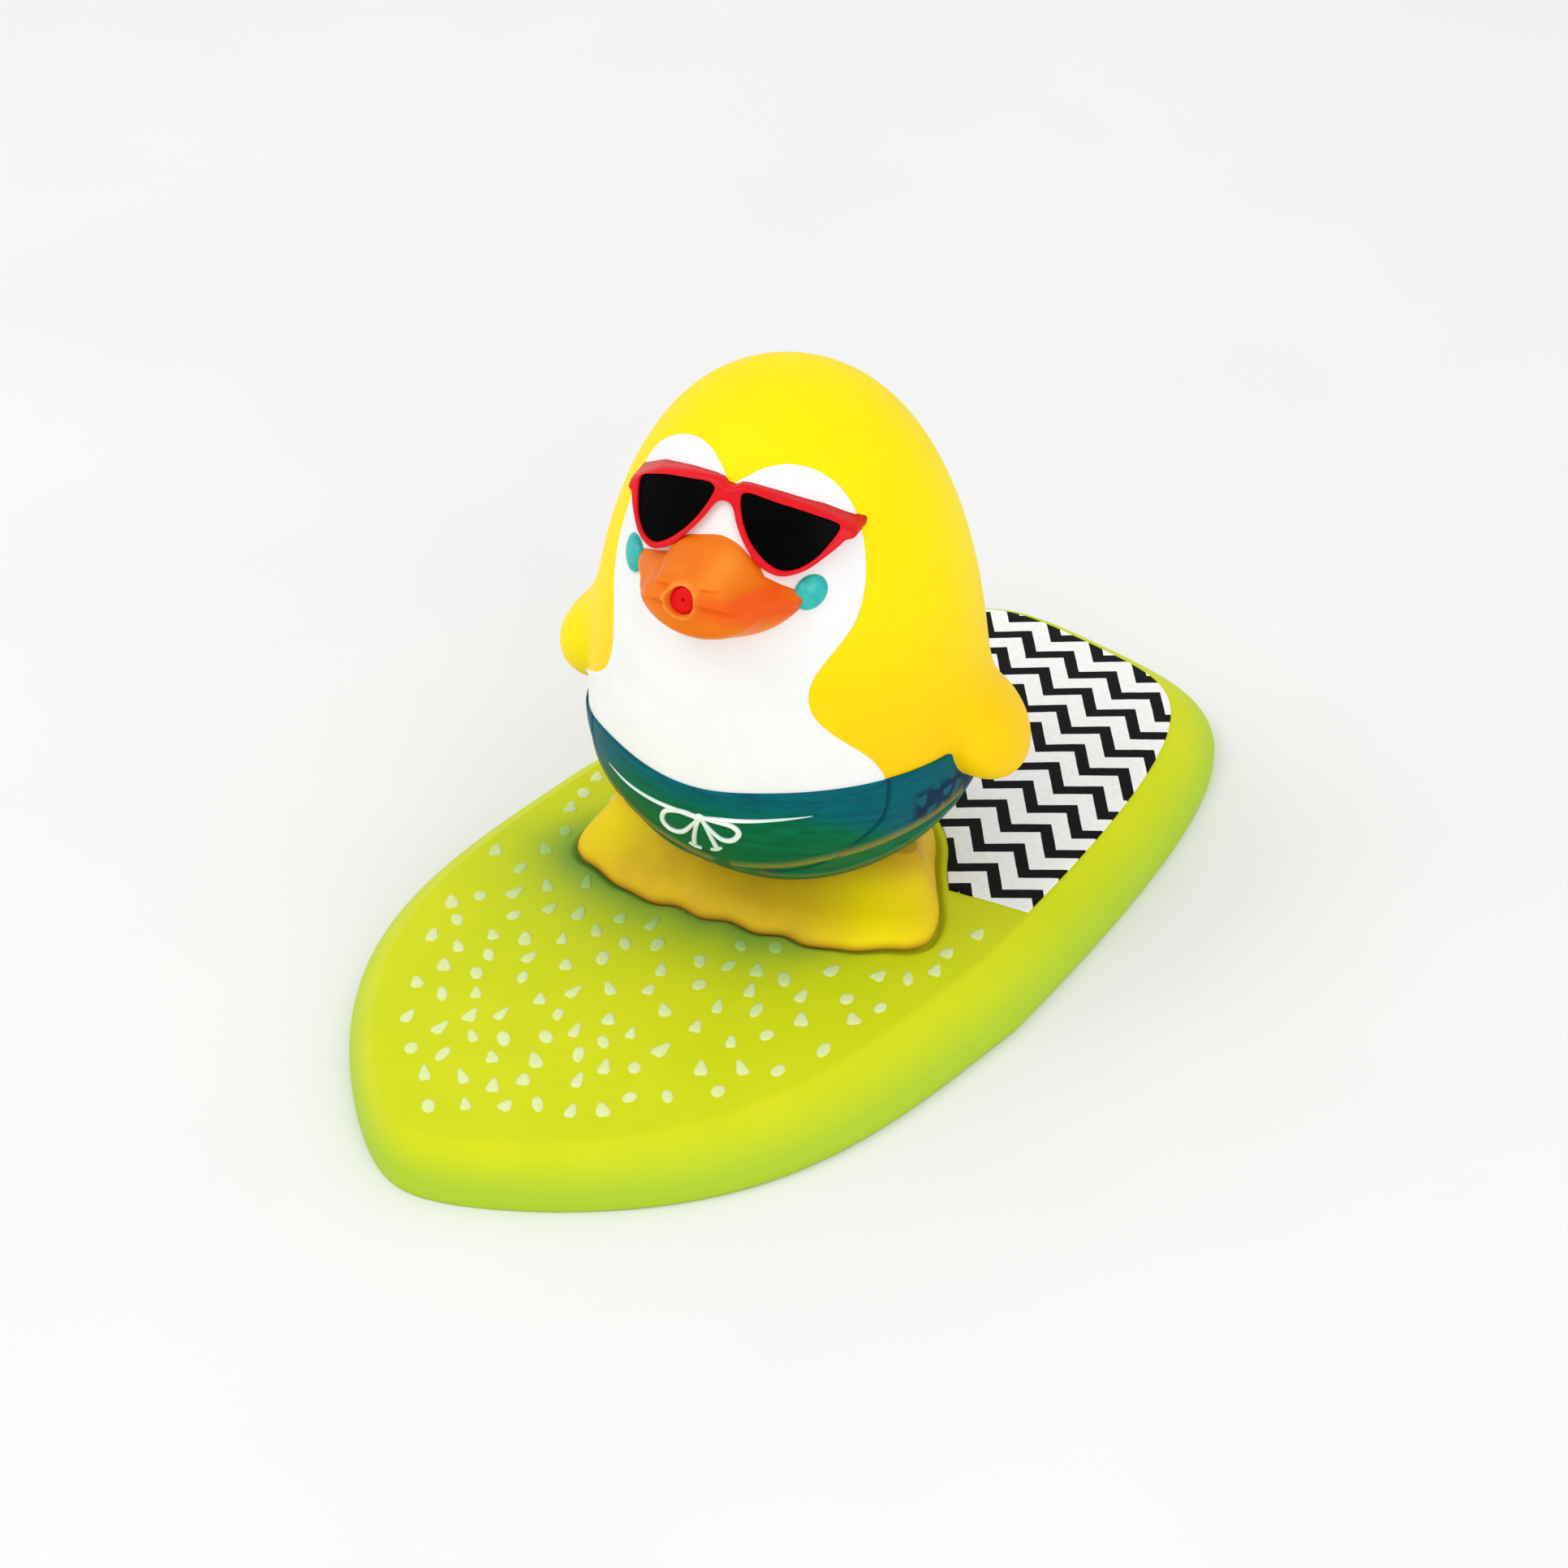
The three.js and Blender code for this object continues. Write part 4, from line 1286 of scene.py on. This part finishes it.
# Metres, as Blender has them.
FLOOR_HALF_SIZE = 3.0
LIGHT_AIM = (0, 0, 0.05)
KEY_PLACE, KEY_SIZE, KEY_POWER = (-0.35, -0.55, 0.85), 0.5, 1.9
FILL_PLACE, FILL_SIZE, FILL_POWER = (0.8, -0.4, 0.5), 0.6, 1.6
WORLD_STRENGTH = 0.9
CAMERA_TARGET = Vector((0.00552, -0.00625, 0.03091))
CAMERA_DISTANCE = 0.6358
CAMERA_AZIMUTH, CAMERA_ELEVATION = math.radians(40.87), math.radians(36.89)
LENS_LENGTH, SENSOR_WIDTH = 97.56, 36


def floor():
    """A plain pale floor."""
    size = FLOOR_HALF_SIZE
    mesh = bpy.data.meshes.new("floor_mesh")
    corners = [(-size, -size, 0), (size, -size, 0), (size, size, 0), (-size, size, 0)]
    mesh.from_pydata(corners, [], [(0, 1, 2, 3)])
    shader = Shader("pale_floor")
    tone = shader.clouded(80, 2, (0.86, 0.86, 0.86, 1), (0.88, 0.88, 0.88, 1))
    shader.set(Base_Color=tone, Roughness=0.9)
    mesh.materials.append(shader.material)
    new_object("floor", mesh)


def turn_to(thing, place, aim):
    """Sets a lamp or a camera at a place, turned to its aim."""
    thing.location = place
    thing.rotation_mode = "QUATERNION"
    thing.rotation_quaternion = (aim - place).to_track_quat("-Z", "Y")


def softbox(name, place, size, power):
    """A round lamp turned to the toy."""
    light = bpy.data.lights.new(name, "AREA")
    light.shape = "DISK"
    light.size = size
    light.energy = power
    turn_to(new_object(name, light), Vector(place), Vector(LIGHT_AIM))


def light():
    """An even pale surround with two softboxes."""
    world = bpy.data.worlds.new("studio")
    world.use_nodes = True
    background = world.node_tree.nodes["Background"]
    background.inputs["Color"].default_value = (1, 1, 1, 1)
    background.inputs["Strength"].default_value = WORLD_STRENGTH
    bpy.context.scene.world = world
    softbox("key", KEY_PLACE, KEY_SIZE, KEY_POWER)
    softbox("fill", FILL_PLACE, FILL_SIZE, FILL_POWER)


def camera():
    """The camera looks from the penguin's front left, well above the board."""
    level = math.cos(CAMERA_ELEVATION)
    back = Vector((
        math.sin(CAMERA_AZIMUTH) * level,
        -math.cos(CAMERA_AZIMUTH) * level,
        math.sin(CAMERA_ELEVATION),
    ))
    data = bpy.data.cameras.new("camera")
    data.lens = LENS_LENGTH
    data.sensor_width = SENSOR_WIDTH
    data.clip_start, data.clip_end = 0.01, 20
    eye = new_object("camera", data)
    turn_to(eye, CAMERA_TARGET + back * CAMERA_DISTANCE, CAMERA_TARGET)
    bpy.context.scene.camera = eye


floor()
light()
camera()
bpy.context.scene.view_settings.view_transform = "Standard"
